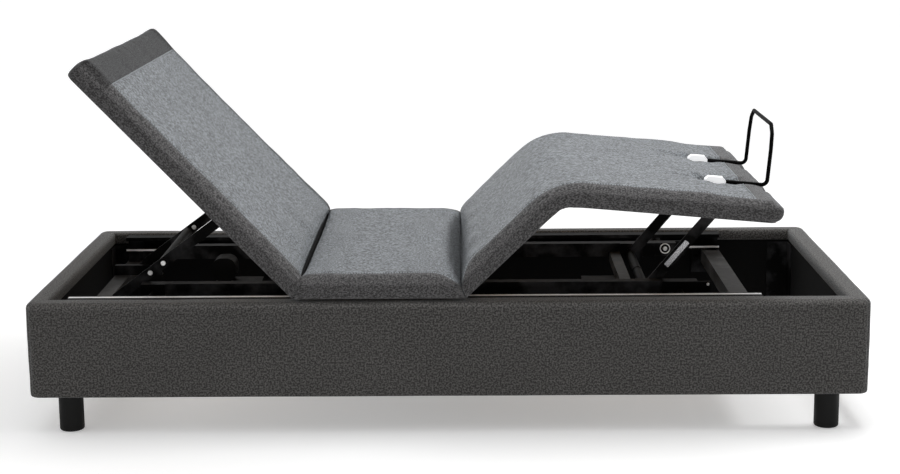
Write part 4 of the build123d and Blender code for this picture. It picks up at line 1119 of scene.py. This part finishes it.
def carriage_bolts():
    """Socket bolts of the rollers and pivots, seen on the rails' inner faces and plates."""
    rail_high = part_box("carriage_rails")[1]
    plate_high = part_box("roller_axles")[1]
    inner, outer = rail_high[1] - RAIL_WIDTH, rail_high[1] + PLATE_STAND
    roller = joints["foot_roller_spin"]["pos_m"]
    lift = joints["leg_lift_hinge"]["pos_m"]
    at_roller = (roller[0] + ROLLER_BOLT[0], roller[2] + ROLLER_BOLT[1])
    at_lift = (lift[0] + LIFT_BOLT[0], lift[2] + LIFT_BOLT[1])
    at_plate = (plate_high[0] + PLATE_BOLT[0], rail_high[2] + PLATE_BOLT[1])
    points, faces = [], []
    for side in (-1, 1):
        for (x, z), stand, facing, profile in (
                (at_roller, inner, -1, BOLT), (at_roller, inner, -1, RING),
                (at_lift, inner - LIFT_PLATE, -1, SMALL_BOLT), (at_plate, outer, 1, SMALL_BOLT)):
            lathe_y(points, faces, (x, side * stand, z), side * facing, profile)
    piece = make_piece("carriage_bolt_heads", points, faces, (MATERIALS["zinc_steel"],), None, points, False)
    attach(piece, "carriage")


# ---- surround covers
CORNER_ROUND = 0.026
CORNER_LEAST = 0.0015
CORNER_ANGLES = np.linspace(45, 90, 7)
SIDE_STATIONS, END_STATIONS = 90, 44
OUTER_ROUND, INNER_ROUND, LOWER_ROUND = 0.015, 0.007, 0.006
TURN_IN = 0.002                # the cover turns back under its inner lip, then runs down inside the wall
TURN_IN_DROP = 0.010
LINING = 0.018
FACE_DEPTH, QUIET_DEPTH, QUIET_SHARE = 0.02, 0.030, 0.25
FACE_BULGE = 0.0030
FACE_RIPPLES = (0.0016, 0.0006)
SEAM_PINCH = 0.0012
TOP_RIPPLE, TOP_SETTLE = 0.0012, 0.0008
# Painted shade below the surround's top rim, so that the rim reads lit: darkest RIM_SHADE, fading out from RIM_FROM
# over RIM_SPAN.
RIM_SHADE, RIM_FROM, RIM_SPAN = 0.38, 0.304, 0.012


def surround_profile():
    """Closed cross-section of a surround cover, as (depth from the outer face, height)."""
    def arc(centre, radius, start, end, count):
        turns = np.radians(np.linspace(start, end, count))
        return [(centre[0] - radius * math.cos(a), centre[1] + radius * math.sin(a)) for a in turns]

    low, high, lip = SURROUND_LOW, SURROUND_HIGH, WALL - TURN_IN
    face = [(0.0, z) for z in np.linspace(low + 0.012, high - OUTER_ROUND, 20)[:-1]]
    profile = arc((LOWER_ROUND, low + LOWER_ROUND), LOWER_ROUND, -80, -15, 4) + face
    profile += arc((OUTER_ROUND, high - OUTER_ROUND), OUTER_ROUND, 0, 90, 9)
    profile += arc((WALL - INNER_ROUND, high - INNER_ROUND), INNER_ROUND, 90, 180, 6)
    profile += [(WALL, high - 0.016), (WALL, high - 0.0285), (WALL - 0.0010, high - 0.0300)]
    profile += [(lip, high - 0.0290), (lip, high - TURN_IN_DROP)]
    profile += [(WALL - LINING, high - TURN_IN_DROP), (WALL - LINING, low + 0.005)]
    profile += [(lip, low + 0.005), (lip, low + 0.001), (WALL - 0.003, low)]
    return profile


def surround_point(kind, value, depth, height, along_y, sign):
    """One point of a surround cover, and how far along the wall it lies."""
    half_run = (BASE_HALF_Y if along_y else BASE_HALF_X) - depth
    out = (BASE_HALF_X if along_y else BASE_HALF_Y) - depth
    radius = max(CORNER_ROUND - depth, CORNER_LEAST)
    if kind == "run":
        run = value * (half_run - radius)
    else:
        way = -1 if kind == "low" else 1
        run = way * (half_run - radius + radius * math.cos(math.radians(value)))
        out = out - radius + radius * math.sin(math.radians(value))
    on_seam = kind != "run" and abs(value - CORNER_ANGLES[0]) < 0.1
    on_face = depth < FACE_DEPTH
    bulge = 0.0
    if on_face and not on_seam:
        level = min(max((height - SURROUND_LOW) / (SURROUND_HIGH - SURROUND_LOW), 0), 1)
        bulge = FACE_BULGE * math.sin(math.pi * level) * (1 - min(1, abs(run / half_run)) ** 8)
    spot = Vector((run * 4.0 + (7 if along_y else 0), height * 5, sign * 3))
    bulge += FACE_RIPPLES[0] * noise.noise(spot) + FACE_RIPPLES[1] * noise.noise(spot * 5)
    if depth > QUIET_DEPTH:
        bulge *= QUIET_SHARE
    if on_seam:
        bulge -= SEAM_PINCH
        height -= SEAM_PINCH if height > 0.31 else 0
    if height > 0.318:
        height += TOP_RIPPLE * noise.noise(Vector((run * 5, sign * 5, 3 + along_y))) - TOP_SETTLE
    out += bulge if on_face else 0
    return ((sign * out, run, height) if along_y else (run, sign * out, height)), run


def surround_cover(name, along_y, sign):
    """One side of the surround, swept along its wall and halfway round both corners."""
    profile = surround_profile()
    stations = [("low", a) for a in CORNER_ANGLES]
    stations += [("run", s) for s in np.linspace(-1, 1, END_STATIONS if along_y else SIDE_STATIONS)[1:-1]]
    stations += [("high", a) for a in CORNER_ANGLES[::-1]]
    steps = [math.dist(a, b) for a, b in zip(profile, profile[1:])]
    reach = np.cumsum([0] + steps)
    points, flat = [], []
    for kind, value in stations:
        for (depth, height), unrolled in zip(profile, reach):
            point, run = surround_point(kind, value, depth, height, along_y, sign)
            points.append(point)
            flat.append((run, unrolled, 0))
    n = len(profile)
    quads = []
    for i in range(len(stations) - 1):
        for j in range(n):
            k = (j + 1) % n
            quads.append((i * n + j, i * n + k, (i + 1) * n + k, (i + 1) * n + j))
    caps = [tuple(range(n)), tuple(range(len(points) - 1, len(points) - 1 - n, -1))]
    piece = make_piece(name, points, quads + caps, (MATERIALS["charcoal_wool"],), None, flat)
    heights = np.array([p[2] for p in points])
    # Painted shade on everything below the top rim.
    set_painted_shade(piece, RIM_SHADE * (1 - soft_step((heights - RIM_FROM) / RIM_SPAN)))
    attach(piece, "base")
    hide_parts(name.replace("padded", "cover"))


# ---- build
camera()
make_materials()
studio()
dress_frame()
surround_cover("left_side_padded", False, 1)
surround_cover("right_side_padded", False, -1)
surround_cover("head_end_padded", True, -1)
surround_cover("foot_end_padded", True, 1)
deck_covers()
back_gusset()
track_highlight_strips()
carriage_bolts()
